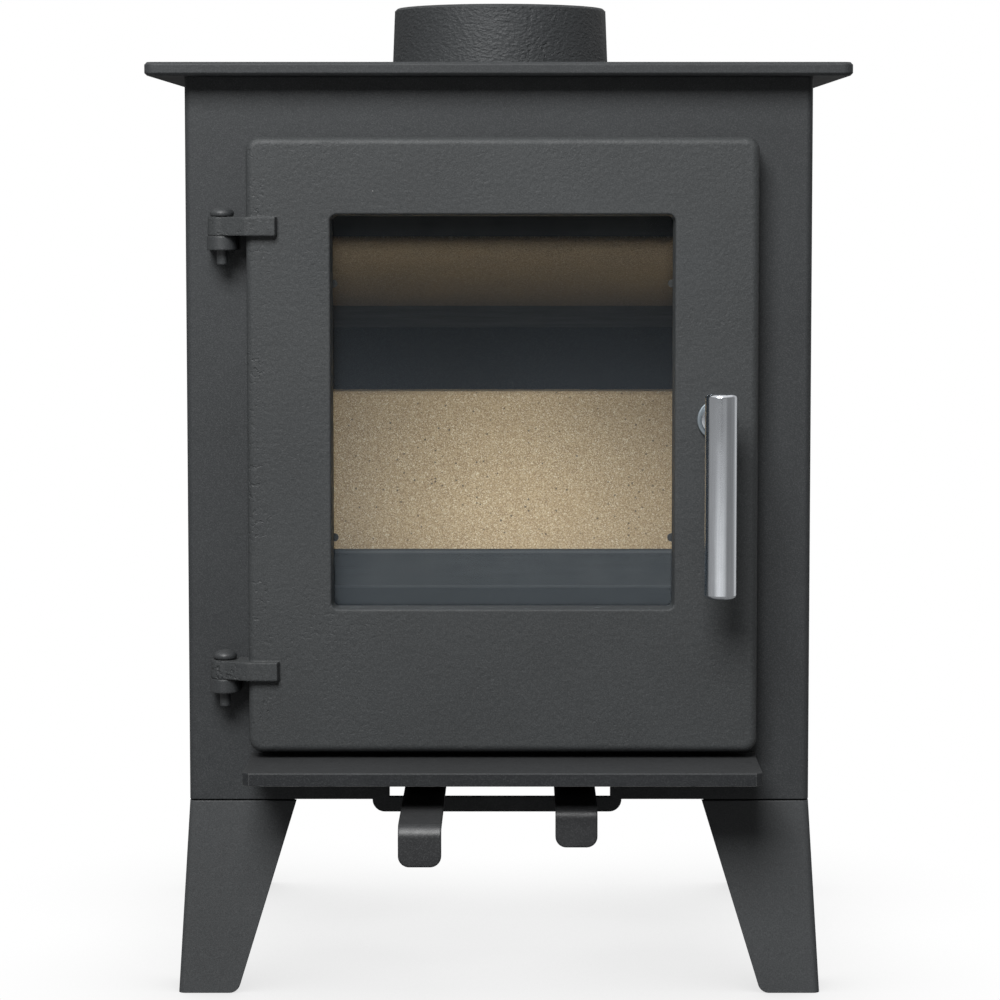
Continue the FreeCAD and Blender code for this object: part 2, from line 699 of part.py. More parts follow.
def outlet_pieces():
    """The blanked rear outlet: a cover outside, a bridge bar inside and one bolt."""
    cover_back = "body_depth + outlet_cover_thickness"
    cover = piece("outlet_cover")
    pad(cover, "XZ", ("body_depth", cover_back),
        circle("0", "outlet_middle", "flue_bore / 2 + outlet_lap"),
        circle("0", "outlet_middle", "bolt_size / 2"))
    dress(cover, "Chamfer", "outlet_cover_edge", lambda edge: (
        lies(edge, y=cover_back) and edge.BoundBox.XLength > mm("flue_bore")))
    bridge = piece("outlet_bridge")
    bridge_front = "inner_back - bridge_thickness"
    half = "flue_bore / 2 + bridge_lap"
    pad(bridge, "XZ", (bridge_front, "inner_back"),
        rectangle((f"-({half})", half),
                  ("outlet_middle - bridge_width / 2", "outlet_middle + bridge_width / 2")),
        circle("0", "outlet_middle", "bolt_size / 2"))
    head = hexagon("outlet_bolt_head", "Y", ("0", "outlet_middle"), "bolt_head_across",
                   (cover_back, f"{cover_back} + bolt_head_height"))
    shank = cylinder("outlet_bolt_shank", "Y", ("0", "outlet_middle"), "bolt_size / 2",
                     (f"{bridge_front} - bolt_tail", cover_back))
    settle(fused("outlet_bolt", [head, shank]), "outlet_bolt")


def front_shelf():
    body = piece("front_shelf")
    low = "shelf_top - shelf_thickness"
    left = "door_left - shelf_overhang"
    right = "door_right + shelf_overhang"
    pad(body, "XY", (low, "shelf_top"), polygon(
        (left, "0"), (left, "-shelf_depth + shelf_corner"),
        (f"{left} + shelf_corner", "-shelf_depth"), (f"{right} - shelf_corner", "-shelf_depth"),
        (right, "-shelf_depth + shelf_corner"), (right, "0")))
    dress(body, "Fillet", "shelf_edge_radius", lambda edge: (
        lies(edge, z="shelf_top") and not lies(edge, y="0")))


# Legs

def legs():
    """Each leg is an L of folded plate that tapers from top to foot and leans outward."""
    for name, sign, end in corners():
        body = piece(f"leg_{name}")
        cut = "0" if end == "front" else "rear_leg_cut"
        top_width = f"leg_top_width - {cut}"
        foot_width = f"leg_foot_width - {cut}"
        low = from_corner(sign, end, "-leg_splay", "-leg_splay")
        high = from_corner(sign, end, top_width, top_width)
        whole_x = in_order(low[0], high[0])
        whole_y = in_order(low[1], high[1])
        blade = [("-leg_splay", "0"), ("wall - leg_splay", "0"), ("wall", "leg_height"),
                 ("0", "leg_height")]
        past = [("-leg_splay - wall", "0"), ("-leg_splay", "0"), ("0", "leg_height"),
                ("-leg_splay - wall", "leg_height")]
        short = [(f"{foot_width} - leg_splay", "0"), (f"{top_width} + wall", "0"),
                 (f"{top_width} + wall", "leg_height"), (top_width, "leg_height")]

        def seen_from_front(places):
            return polygon(*[(from_corner(sign, end, inward, "0")[0], z) for inward, z in places])

        def seen_from_side(places):
            return polygon(*[(from_corner(sign, end, "0", inward)[1], z) for inward, z in places])
        pad(body, "YZ", whole_x, seen_from_side(blade))
        pad(body, "XZ", whole_y, seen_from_front(blade))
        pocket(body, "XZ", whole_y, seen_from_front(past), seen_from_front(short))
        pocket(body, "YZ", whole_x, seen_from_side(past), seen_from_side(short))
        outer = FreeCAD.Vector(mm(low[0]), mm(low[1]), 0)

        def fold(edge):
            starts = min(v.Point.distanceToPoint(outer) for v in edge.Vertexes) < 0.01
            return starts and abs(edge.BoundBox.ZMax - mm("leg_height")) < 0.01
        dress(body, "Fillet", "bend_radius", fold)
        toe_x = from_corner(sign, end, f"{foot_width} - leg_splay", "0")[0]
        toe_y = from_corner(sign, end, "0", f"{foot_width} - leg_splay")[1]
        dress(body, "Fillet", "leg_toe_radius", lambda edge: at_any(
            edge, [dict(x=toe_x, z="0"), dict(y=toe_y, z="0")]))
        near = from_corner(sign, end, "wall / 2", "wall / 2")
        far = from_corner(sign, end, "leg_flange", "leg_flange")
        slant = "leg_flange - leg_flange_corner"
        middle = from_corner(sign, end, slant, slant)
        bolt = from_corner(sign, end, "leg_bolt_inset", "leg_bolt_inset")
        pad(body, "XY", ("leg_height - wall", "leg_height"),
            polygon(near, (far[0], near[1]), (far[0], middle[1]), (middle[0], far[1]),
                    (near[0], far[1])))
        pocket(body, "XY", ("leg_height - wall", "leg_height"),
               circle(*bolt, "bolt_size / 2 + bolt_clearance"))


def leg_bolts():
    bolts = []
    seat = "leg_height - wall"
    for name, sign, end in corners():
        place = from_corner(sign, end, "leg_bolt_inset", "leg_bolt_inset")
        head = hexagon(f"bolt_head_{name}", "Z", place, "bolt_head_across",
                       (f"{seat} - bolt_head_height", seat))
        shank = cylinder(f"bolt_shank_{name}", "Z", place, "bolt_size / 2", (seat, "base_bottom"))
        bolts.append(fused(f"bolt_{name}", [head, shank]))
    group("leg_bolts", bolts)


# Door hinges

def pin_dome(seat):
    """Points of a pin's domed head on a quarter of an ellipse above its straight rim."""
    rise = "(pin_head_height - pin_rim)"
    steps = 3
    points = []
    for step in range(steps + 1):
        turned = f"{90 * step / steps:g} deg"
        points.append((f"pin_head / 2 * cos({turned})",
                       f"{seat} + pin_rim + {rise} * sin({turned})"))
    return points


def hinges():
    """A lug on the body and a dome-headed pin for each of the two hinge arms."""
    for name, arm in (("upper", "arm_upper"), ("lower", "arm_lower")):
        top = f"{arm} - running_gap"
        low = f"{top} - lug_height"
        lug = piece(f"hinge_lug_{name}")
        pad(lug, "XY", (low, top),
            rectangle(("hinge_x - lug_radius", "hinge_x + lug_radius"), ("hinge_y", "0")))
        pad(lug, "XY", (low, top), circle("hinge_x", "hinge_y", "lug_radius"))
        pocket(lug, "XY", (low, top), circle("hinge_x", "hinge_y", "pin_diameter / 2"))
        seat = f"{arm} + arm_height + running_gap"
        pin = piece(f"hinge_pin_{name}")
        turn(pin, "XZ", [polygon(
            ("0", f"{low} - pin_tail"), ("pin_diameter / 2", f"{low} - pin_tail"),
            ("pin_diameter / 2", seat), ("pin_head / 2", seat), *pin_dome(seat))],
            "hinge_y", "hinge_x")
        dress(pin, "Chamfer", "pin_chamfer", lambda edge: lies(edge, z=f"{low} - pin_tail"))


# Door

def inset_box(inset, radius):
    """The door's outline drawn in by an inset."""
    return rounded((f"door_left + {inset}", f"door_right - {inset}"),
                   (f"door_bottom + {inset}", f"door_top - {inset}"), radius)


def window_box(grow, radius):
    """The window's outline grown by a distance."""
    return rounded((f"window_left - ({grow})", f"window_right + {grow}"),
                   (f"window_bottom - ({grow})", f"window_top + {grow}"), radius)


def clip_places():
    """The four clip screws: a window edge, the outward sign and the height."""
    return [(edge, sign, height) for height in ("window_bottom + clip_inset",
                                                "window_top - clip_inset")
            for edge, sign in (("window_left", "-1"), ("window_right", "1"))]


def door_frame():
    """The door casting: face plate, rim with a rope groove, tapered window and hinge arms."""
    body = piece("door_frame")
    pad(body, "XZ", ("door_front_y", "door_plate_y"), inset_box("0", "door_corner_radius"))
    pad(body, "XZ", ("door_plate_y", "door_back_y"), inset_box("0", "door_corner_radius"),
        inset_box("door_rim", "rope_corner_radius - rope_width - rope_border"))
    dress(body, "Fillet", "door_edge_radius", lambda edge: lies(edge, y="door_front_y"))
    wide = sketch_on(body, "XZ", [window_box("window_draft", "window_radius + window_draft")],
                     "door_front_y")
    narrow = sketch_on(body, "XZ", [window_box("0", "window_radius")], "door_plate_y")
    window = body.newObject("PartDesign::SubtractiveLoft", "door_window")
    window.Profile = wide
    window.Sections = [narrow]
    window.Ruled = True
    doc.recompute()
    dress(body, "Chamfer", "window_edge", lambda edge: (
        lies(edge, y="door_front_y") and abs(edge.CenterOfMass.x - mm("door_centre"))
        < mm("window_width / 2 + 2 * window_draft") and abs(
            edge.CenterOfMass.z - mm("(window_bottom + window_top) / 2"))
        < mm("window_height / 2 + 2 * window_draft")))
    bosses = [circle(f"{edge} + {sign} * clip_offset", height, "clip_boss_radius")
              for edge, sign, height in clip_places()]
    pad(body, "XZ", ("door_plate_y", "glass_back_y"), *bosses)
    pad(body, "XZ", ("door_plate_y", "door_back_y"),
        circle("handle_x", "handle_z", "spindle_boss / 2"))
    pocket(body, "XZ", ("door_back_y - groove_depth", "door_back_y"),
           inset_box("rope_inset", "rope_corner_radius"),
           inset_box("(rope_inset + rope_width)", "rope_corner_radius - rope_width"))
    holes = [circle(f"{edge} + {sign} * clip_offset", height, "clip_screw / 2")
             for edge, sign, height in clip_places()]
    pocket(body, "XZ", ("door_plate_y", "glass_back_y"), *holes)
    pocket(body, "XZ", ("door_front_y", "door_back_y"),
           circle("handle_x", "handle_z", "spindle_diameter / 2 + running_gap"))
    proud = "door_front_y - arm_proud"
    for arm in ("arm_upper", "arm_lower"):
        span = (arm, f"{arm} + arm_height")
        pad(body, "XY", span, polygon(
            ("hinge_x", "hinge_y - knuckle_radius"), ("door_left", proud),
            ("door_left + arm_reach - arm_taper", proud),
            ("door_left + arm_reach", "door_front_y + cast_lap"),
            ("door_left + cast_lap", "door_front_y + arm_root"),
            ("door_left + cast_lap", "hinge_y + knuckle_radius"),
            ("hinge_x", "hinge_y + knuckle_radius")))
        pad(body, "XY", span, circle("hinge_x", "hinge_y", "knuckle_radius"))
        pocket(body, "XY", span, circle("hinge_x", "hinge_y", "pin_diameter / 2 + running_gap"))


def door_seals():
    rope = piece("door_rope_seal")
    back = "-running_gap"
    pad(rope, "XZ", ("door_back_y - groove_depth", back),
        inset_box("rope_inset", "rope_corner_radius"),
        inset_box("(rope_inset + rope_width)", "rope_corner_radius - rope_width"))
    dress(rope, "Chamfer", "rope_crown", lambda edge: lies(edge, y=back))
    gasket = piece("glass_gasket")
    pad(gasket, "XZ", ("door_plate_y", "glass_front_y"),
        window_box("gasket_inset + gasket_width", "glass_radius"),
        window_box("gasket_inset", "window_radius"))
    glass = piece("door_glass")
    pad(glass, "XZ", ("glass_front_y", "glass_back_y"), window_box("glass_lap", "glass_radius"))


def glass_clips():
    """Four tapered clips that lie on the glass, with tips that reach past the window's edge."""
    body = piece("glass_clips")
    span = ("glass_back_y", "glass_back_y + clip_thickness")
    for edge, sign, height in clip_places():
        screw = f"{edge} + {sign} * clip_offset"
        root = "clip_boss_radius"
        tip = "clip_tip_radius"
        pad(body, "XZ", span, polygon(
            (screw, f"{height} - {root}"), (edge, f"{height} - {tip}"),
            (edge, f"{height} + {tip}"), (screw, f"{height} + {root}")))
        pad(body, "XZ", span, circle(screw, height, root))
        pad(body, "XZ", span, circle(edge, height, tip))
        pocket(body, "XZ", span, circle(screw, height, "clip_screw / 2"))


def clip_screws():
    screws = []
    seat = "glass_back_y + clip_thickness"
    for number, (edge, sign, height) in enumerate(clip_places()):
        place = (f"{edge} + {sign} * clip_offset", height)
        head = hexagon(f"clip_screw_head_{number}", "Y", place, "clip_head",
                       (seat, f"{seat} + clip_head_height"))
        shank = cylinder(f"clip_screw_shank_{number}", "Y", place, "clip_screw / 2",
                         ("door_plate_y", seat))
        screws.append(fused(f"clip_screw_{number}", [head, shank]))
    group("clip_screws", screws)


# Handle and latch

def handle():
    low = "handle_z + bar_above - bar_length"
    high = "handle_z + bar_above"
    bar = piece("handle_bar")
    pad(bar, "XY", (low, high), circle("handle_x", "bar_y", "bar_diameter / 2"))
    dress(bar, "Chamfer", "bar_chamfer", lambda edge: lies(edge, z=low) or lies(edge, z=high))
    pocket(bar, "XZ", ("bar_y", "bar_y + bar_diameter / 2"),
           circle("handle_x", "handle_z", "stem_diameter / 2"))
    washer_back = "door_front_y - running_gap"
    stem = piece("handle_stem")
    pad(stem, "XZ", ("bar_y", washer_back), circle("handle_x", "handle_z", "stem_diameter / 2"))
    pad(stem, "XZ", (f"{washer_back} - washer_thickness - stem_ring_thickness",
                     f"{washer_back} - washer_thickness"),
        circle("handle_x", "handle_z", "stem_ring / 2"))
    pad(stem, "XZ", (washer_back, "cam_y"), circle("handle_x", "handle_z", "spindle_diameter / 2"))
    pad(stem, "XZ", ("cam_y", "cam_back_y"), square("square_side / 2"))
    pad(stem, "XZ", ("cam_back_y", "cam_back_y + latch_nut_height + thread_tail"),
        circle("handle_x", "handle_z", "latch_thread / 2"))
    washer = piece("handle_washer")
    pad(washer, "XZ", (f"{washer_back} - washer_thickness", washer_back),
        circle("handle_x", "handle_z", "washer_diameter / 2"),
        circle("handle_x", "handle_z", "stem_diameter / 2"))
    dress(washer, "Chamfer", "washer_edge", lambda edge: (
        edge.BoundBox.XLength > mm("(washer_diameter + stem_diameter) / 2")))


def square(half):
    return rectangle((f"handle_x - {half}", f"handle_x + {half}"),
                     (f"handle_z - {half}", f"handle_z + {half}"))


def latch():
    """The cam turns with the handle behind a catch on the inside of the front."""
    cam = piece("latch_cam")
    span = ("cam_y", "cam_back_y")
    pad(cam, "XZ", span, circle("handle_x", "handle_z", "cam_width / 2"))
    pad(cam, "XZ", span, polygon(
        ("handle_x", "handle_z - cam_width / 2"),
        ("handle_x + cam_length", "handle_z - cam_tip_width / 2"),
        ("handle_x + cam_length", "handle_z + cam_tip_width / 2"),
        ("handle_x", "handle_z + cam_width / 2")))
    dress(cam, "Fillet", "cam_tip_radius", lambda edge: (
        lies(edge, x="handle_x + cam_length") and edge.BoundBox.YLength > 0.01))
    pocket(cam, "XZ", span, square("square_side / 2"))
    nut = piece("latch_nut")
    nut_back = "cam_back_y + latch_nut_height"
    across = "latch_nut_across / 2"
    point = "latch_nut_across / sqrt(3)"
    pad(nut, "XZ", ("cam_back_y", nut_back), polygon(
        (f"handle_x - {point}", "handle_z"), (f"handle_x - {point} / 2", f"handle_z - {across}"),
        (f"handle_x + {point} / 2", f"handle_z - {across}"), (f"handle_x + {point}", "handle_z"),
        (f"handle_x + {point} / 2", f"handle_z + {across}"),
        (f"handle_x - {point} / 2", f"handle_z + {across}")),
        circle("handle_x", "handle_z", "latch_thread / 2"))
    catch = piece("latch_catch")
    low = "handle_z - catch_height / 2"
    high = "handle_z + catch_height / 2"
    pad(catch, "XZ", ("wall", "catch_y"), rectangle(
        ("opening_right + catch_gap", "opening_right + catch_gap + catch_width"), (low, high)))
    dress(catch, "Chamfer", "catch_lead", lambda edge: at_any(
        edge, [dict(y="catch_y", z=low), dict(y="catch_y", z=high)]))


# Fire bed

def grate_frame():
    body = piece("grate_frame")
    reach = "grate_width / 2 - grate_seat"
    pad(body, "XY", ("bed_bottom", "bed_top"),
        rectangle(("-inner_side", "inner_side"), ("brick_front", "inner_back")),
        rectangle((f"-({reach})", reach),
                  ("grate_front + grate_seat", "grate_back - grate_seat")))


def grate():
    """A cast grate: a rim that sits on the frame and bars that are deeper in their middle."""
    body = piece("grate")
    high = "bed_top + grate_thickness"
    half = "grate_width / 2"
    pad(body, "XY", ("bed_top", high),
        rounded((f"-({half})", half), ("grate_front", "grate_back"), "grate_rim"),
        rectangle((f"-({half} - grate_rim)", f"{half} - grate_rim"),
                  ("grate_front + grate_rim", "grate_back - grate_rim")))
    inner = mm("grate_width - 2 * grate_rim")
    gaps = round((inner + mm("bar_width")) / mm("bar_pitch"))
    pitch = f"((grate_width - 2 * grate_rim + bar_width) / {gaps})"
    first = "grate_rim - grate_width / 2 - bar_width"
    middle = "(grate_front + grate_back) / 2"
    for number in range(1, gaps):
        left = f"{first} + {number} * {pitch}"
        pad(body, "YZ", (left, f"{left} + bar_width"), polygon(
            ("grate_front + grate_rim", high), ("grate_front + grate_rim", "bed_top"),
            (f"{middle} - belly_length / 2", "bed_top - grate_belly"),
            (f"{middle} + belly_length / 2", "bed_top - grate_belly"),
            ("grate_back - grate_rim", "bed_top"), ("grate_back - grate_rim", high)))


def fuel_retainer():
    """Folded plate that stands on the grate frame and keeps the fire off the glass."""
    body = piece("fuel_retainer")
    front = "retainer_from_front"
    thick = "retainer_thickness"
    half = "retainer_width / 2"
    knee = "bed_top + retainer_low"
    top = "bed_top + retainer_high"
    pad(body, "YZ", (f"-{half}", half), polygon(
        (front, "bed_top"), (f"{front} + {thick}", "bed_top"), (f"{front} + {thick}", knee),
        (f"{front} + retainer_lean + {thick}", top), (f"{front} + retainer_lean", top),
        (front, knee)))
    back = f"{front} + {thick} + retainer_return"
    for low, high in ((f"-{half}", f"-{half} + {thick}"), (f"{half} - {thick}", half)):
        pad(body, "YZ", (low, high), polygon(
            (f"{front} + {thick}", "bed_top"), (back, "bed_top"), (back, knee),
            (f"{front} + {thick}", knee)))


def baffle_underside(back):
    return f"baffle_rear_z + baffle_slope * (inner_back - ({back}))"


def bricks():
    rear = piece("rear_brick")
    pad(rear, "XZ", ("brick_back", "inner_back"), rectangle(
        ("-brick_inner", "brick_inner"), ("bed_top", "baffle_rear_z - rear_brick_gap")))
    dress(rear, "Chamfer", "brick_chamfer", lambda edge: (
        lies(edge, y="brick_back", z="baffle_rear_z - rear_brick_gap")))
    for name, span in (("left", ("-inner_side", "-brick_inner")),
                       ("right", ("brick_inner", "inner_side"))):
        side = piece(f"side_brick_{name}")
        pad(side, "YZ", span, polygon(
            ("brick_front", "bed_top"), ("inner_back", "bed_top"), ("inner_back", "baffle_rear_z"),
            ("baffle_front", baffle_underside("baffle_front")),
            ("brick_front", baffle_underside("baffle_front"))))


def baffle():
    board = piece("baffle_board")
    front = baffle_underside("baffle_front")
    pad(board, "YZ", ("-inner_side", "inner_side"), polygon(
        ("baffle_front", front), ("inner_back", "baffle_rear_z"),
        ("inner_back", "baffle_rear_z + baffle_thickness"),
        ("baffle_front", f"{front} + baffle_thickness")))
    ledge = piece("baffle_ledge")
    start = "inner_back - baffle_ledge"
    pad(ledge, "YZ", ("-brick_inner", "brick_inner"), polygon(
        (start, "baffle_rear_z - baffle_ledge"), ("inner_back", "baffle_rear_z - baffle_ledge"),
        ("inner_back", "baffle_rear_z"), (start, baffle_underside(start))))


def ash_pan():
    body = piece("ash_pan")
    half = "pan_width / 2"
    back = "pan_front + pan_length"
    top = "pan_bottom + pan_height"
    pad(body, "XY", ("pan_bottom", top),
        rounded((f"-({half})", half), ("pan_front", back), "pan_corner_radius"))
    pocket(body, "XY", ("pan_bottom + pan_sheet", top), rounded(
        (f"-({half} - pan_sheet)", f"{half} - pan_sheet"),
        ("pan_front + pan_sheet", f"{back} - pan_sheet"), "(pan_corner_radius - pan_sheet)"))
    pocket(body, "XZ", ("pan_front", "pan_front + pan_sheet"), rounded(
        ("-pan_slot_width / 2", "pan_slot_width / 2"),
        (f"{top} - pan_slot_drop - pan_slot_height", f"{top} - pan_slot_drop"), "pan_slot_radius"))


def ash_pan_runners():
    """Angles that hang from the grate frame and carry the ash pan by its two sides."""
    side = "pan_width / 2 + running_gap"
    low = "pan_bottom - running_gap"
    for name, sign in (("left", "-1"), ("right", "1")):
        body = piece(f"ash_pan_runner_{name}")
        pad(body, "XZ", ("pan_front - runner_lead", "pan_front + pan_length + runner_tail"), polygon(
            (f"{sign} * ({side} - runner_lap)", low), (f"{sign} * ({side})", low),
            (f"{sign} * ({side})", "bed_bottom"), (f"{sign} * ({side} + runner_sheet)", "bed_bottom"),
            (f"{sign} * ({side} + runner_sheet)", f"{low} - runner_sheet"),
            (f"{sign} * ({side} - runner_lap)", f"{low} - runner_sheet")))


# Air controls

def air_slide(name, middle, front):
    """A lever strip with a bent finger tab, welded under its shutter plate."""
    body = piece(name)
    half = "lever_width / 2"
    bend = f"{front} - shutter_out - lever_reach - lever_travel"
    across = (f"{middle} - {half}", f"{middle} + {half}")
    strip = (f"{bend} + lever_bend", f"{front} + shutter_length - strip_inset")
    pad(body, "XY", ("lever_top", "lever_top + shutter_thickness"), rectangle(
        (f"{middle} - shutter_width / 2", f"{middle} + shutter_width / 2"),
        (front, f"{front} + shutter_length")))
    pad(body, "XY", ("lever_bottom", "lever_top"), rectangle(across, strip))
    tab_low = "lever_top - lever_drop"
    pad(body, "XZ", (bend, f"{bend} + lever_thickness"),
        rectangle(across, (tab_low, "lever_top - lever_bend")))
    pad(body, "YZ", across, bend_section(bend))
    dress(body, "Fillet", "lever_tip_radius", lambda edge: (
        lies(edge, z=tab_low) and edge.BoundBox.YLength > 0.01 and edge.BoundBox.XLength < 0.01))


def bend_section(bend):
    """A quarter ring in the YZ plane, which joins a lever's strip to its tab."""
    centre = (f"{bend} + lever_bend", "lever_top - lever_bend")
    inner = "(lever_bend - lever_thickness)"

    def draw(sketch):
        middle = vector(*centre)
        normal = FreeCAD.Vector(0, 0, 1)
        quarter = (math.pi / 2, math.pi)
        arcs = []
        for radius in ("lever_bend", inner):
            ring = Part.Circle(middle, normal, mm(radius))
            arcs.append(sketch.addGeometry(Part.ArcOfCircle(ring, *quarter), False))
        outer_arc, inner_arc = arcs
        ends = [
            ((centre[0], "lever_top"), (centre[0], "lever_top - lever_thickness")),
            ((bend, centre[1]), (f"{bend} + lever_thickness", centre[1]))]
        for (start, end), point in zip(ends, (1, 2)):
            line = sketch.addGeometry(Part.LineSegment(vector(*start), vector(*end)), False)
            hold(sketch, line, 1, *start)
            hold(sketch, line, 2, *end)
            sketch.addConstraint(Sketcher.Constraint("Coincident", line, 1, outer_arc, point))
            sketch.addConstraint(Sketcher.Constraint("Coincident", line, 2, inner_arc, point))
        for arc, radius in ((outer_arc, "lever_bend"), (inner_arc, inner)):
            number = sketch.addConstraint(Sketcher.Constraint("Radius", arc, mm(radius)))
            sketch.setExpression(f"Constraints[{number}]", bound(radius))
    return draw


def air_guide(name, middle):
    """Two angles under the base plate that carry a shutter, closed by a stop at each end."""
    body = piece(name)
    side = "shutter_width / 2 + running_gap"
    low = "lever_top - running_gap - guide_thickness"
    high = "base_bottom"
    outer = f"({side} + guide_thickness)"
    span = ("guide_front", "guide_back + guide_thickness")
    for sign in ("-1", "1"):
        pad(body, "XZ", span, polygon(
            (f"{middle} + {sign} * ({side})", high), (f"{middle} + {sign} * {outer}", high),
            (f"{middle} + {sign} * {outer}", low),
            (f"{middle} + {sign} * ({side} - guide_lap)", low),
            (f"{middle} + {sign} * ({side} - guide_lap)", f"{low} + guide_thickness"),
            (f"{middle} + {sign} * ({side})", f"{low} + guide_thickness")))
    across = (f"{middle} - {outer}", f"{middle} + {outer}")
    for start in ("guide_front", "guide_back"):
        pad(body, "XZ", (start, f"{start} + guide_thickness"),
            rectangle(across, ("lever_top + running_gap", high)))


def air_wash():
    """The ducting that takes the left inlet's air to the top of the glass."""
    floor = piece("airwash_floor_duct")
    sheet_size = "duct_sheet"
    across = ("-inner_side", "duct_right")
    deep = ("wall", "duct_back")
    pad(floor, "XY", ("base_top", "duct_top"), rectangle(across, deep))
    pocket(floor, "XY", ("base_top", f"duct_top - {sheet_size}"), rectangle(
        (across[0], f"{across[1]} - {sheet_size}"), (deep[0], f"{deep[1]} - {sheet_size}")))
    pocket(floor, "XY", (f"duct_top - {sheet_size}", "duct_top"), rectangle(
        ("-inner_side", f"riser_right - {sheet_size}"),
        ("wall", "deflector_y")))
    riser = piece("airwash_riser")
    pad(riser, "XY", ("duct_top", "deflector_edge"), polygon(
        ("-inner_side", "deflector_y"), (f"riser_right - {sheet_size}", "deflector_y"),
        (f"riser_right - {sheet_size}", "wall"), ("riser_right", "wall"),
        ("riser_right", f"deflector_y + {sheet_size}"),
        ("-inner_side", f"deflector_y + {sheet_size}")))
    deflector = piece("airwash_deflector")
    far = "wall + deflector_reach"
    pad(deflector, "YZ", ("-inner_side", "inner_side"), polygon(
        ("deflector_y", "deflector_edge"), (f"deflector_y + {sheet_size}", "deflector_edge"),
        (f"deflector_y + {sheet_size}", "deflector_bend"), (far, "deflector_bend"),
        (far, "body_top"), (f"{far} - {sheet_size}", "body_top"),
        (f"{far} - {sheet_size}", f"deflector_bend + {sheet_size}"),
        ("deflector_y", f"deflector_bend + {sheet_size}")))


def check_document():
    """Stops if a feature failed or a finished piece has no sound solid."""
    for item in doc.Objects:
        if "Invalid" in item.State or "Error" in item.State:
            raise RuntimeError(f"{item.Name} failed: {item.State}")
    for item in pieces:
        shape = item.Shape
        if shape.isNull() or not shape.isValid() or not shape.Solids:
            raise RuntimeError(f"{item.Label} has no sound solid")


def main():
    fill_sheet()
    body_wrap()
    back_panel()
    base_plate()
    leg_pads()
    top_plate()
    flue_collar()
    collar_screws()
    outlet_pieces()
    front_shelf()
    legs()
    leg_bolts()
    hinges()
    door_frame()
    door_seals()
    glass_clips()
    clip_screws()
    handle()
    latch()
    grate_frame()
    grate()
    fuel_retainer()
    bricks()
    baffle()
    ash_pan()
    ash_pan_runners()
    air_slide("airwash_slide", "lever_left", "shutter_out")
    air_slide("primary_air_slide", "lever_right", "shutter_in")
    air_guide("airwash_guide", "lever_left")
    air_guide("primary_air_guide", "lever_right")
    air_wash()
    doc.recompute()
    check_document()
    os.makedirs("parts", exist_ok=True)
    for item in pieces:
        item.Shape.exportStep(f"parts/{item.Label}.step")
    print(len(pieces), "pieces written")


main()
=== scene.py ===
import math

import bmesh
import bpy
import numpy as np
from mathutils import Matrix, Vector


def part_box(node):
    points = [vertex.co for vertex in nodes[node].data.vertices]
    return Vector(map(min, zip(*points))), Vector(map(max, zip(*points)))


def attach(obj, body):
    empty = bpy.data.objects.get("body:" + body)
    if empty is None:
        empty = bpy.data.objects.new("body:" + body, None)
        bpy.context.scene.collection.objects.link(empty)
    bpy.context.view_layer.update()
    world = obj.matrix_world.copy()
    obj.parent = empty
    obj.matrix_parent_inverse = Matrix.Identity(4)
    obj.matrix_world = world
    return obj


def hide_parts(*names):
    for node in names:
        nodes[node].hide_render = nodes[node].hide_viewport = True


# A small cast and sheet steel stove in a plain white studio. Lengths are in metres, +Z is up
# and -Y is the front, as in the frame.

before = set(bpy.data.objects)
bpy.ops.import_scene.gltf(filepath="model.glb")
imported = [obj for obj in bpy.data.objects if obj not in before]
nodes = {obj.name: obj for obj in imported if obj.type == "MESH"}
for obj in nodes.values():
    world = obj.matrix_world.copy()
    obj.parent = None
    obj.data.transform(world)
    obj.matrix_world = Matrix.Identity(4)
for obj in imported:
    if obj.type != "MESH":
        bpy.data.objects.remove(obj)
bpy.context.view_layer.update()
print("frame loaded,", len(nodes), "nodes")


# Node helpers

def addNode(tree, kind, sockets=None, **settings):
    # settings are the node's own options, sockets the values or links of its inputs
    node = tree.nodes.new("ShaderNode" + kind)
    for name, value in settings.items():
        setattr(node, name, value)
    for name, value in (sockets or {}).items():
        if isinstance(value, bpy.types.NodeSocket):
            tree.links.new(value, node.inputs[name])
        else:
            node.inputs[name].default_value = value
    return node


def mathOf(tree, operation, first, second=0.0):
    sockets = {0: first, 1: second}
    return addNode(tree, "Math", sockets, operation=operation, use_clamp=False).outputs[0]


def ramp(tree, value, low, high, start=0.0, end=1.0):
    # a straight ramp from start at low to end at high, held flat outside them
    sockets = {0: value, 1: low, 2: high, 3: start, 4: end}
    return addNode(tree, "MapRange", sockets, clamp=True).outputs[0]


def mixColors(tree, factor, first, second):
    # 6 and 7 are the colour inputs of a Mix node, and its output 2 is their mixture
    sockets = {0: factor, 6: (*first, 1) if isinstance(first, tuple) else first,
               7: (*second, 1) if isinstance(second, tuple) else second}
    return addNode(tree, "Mix", sockets, data_type="RGBA").outputs[2]


def noiseAt(tree, place, scale, detail=2.0, roughness=0.5):
    sockets = {"Vector": place, "Scale": scale, "Detail": detail, "Roughness": roughness}
    return addNode(tree, "TexNoise", sockets).outputs["Fac"]


def cellsAt(tree, place, scale):
    # distance to the middle of the nearest cell, and one random number for each cell
    node = addNode(tree, "TexVoronoi", {"Vector": place, "Scale": scale})
    random = addNode(tree, "SeparateColor", {0: node.outputs["Color"]}).outputs[0]
    return node.outputs["Distance"], random


def stretched(tree, place, x, y, z):
    sockets = {"Vector": place, "Scale": (x, y, z)}
    return addNode(tree, "Mapping", sockets).outputs[0]


def bumped(tree, height, distance, normal=None):
    sockets = {"Height": height, "Distance": distance, "Strength": 1.0}
    if normal is not None:
        sockets["Normal"] = normal
    return addNode(tree, "Bump", sockets).outputs[0]


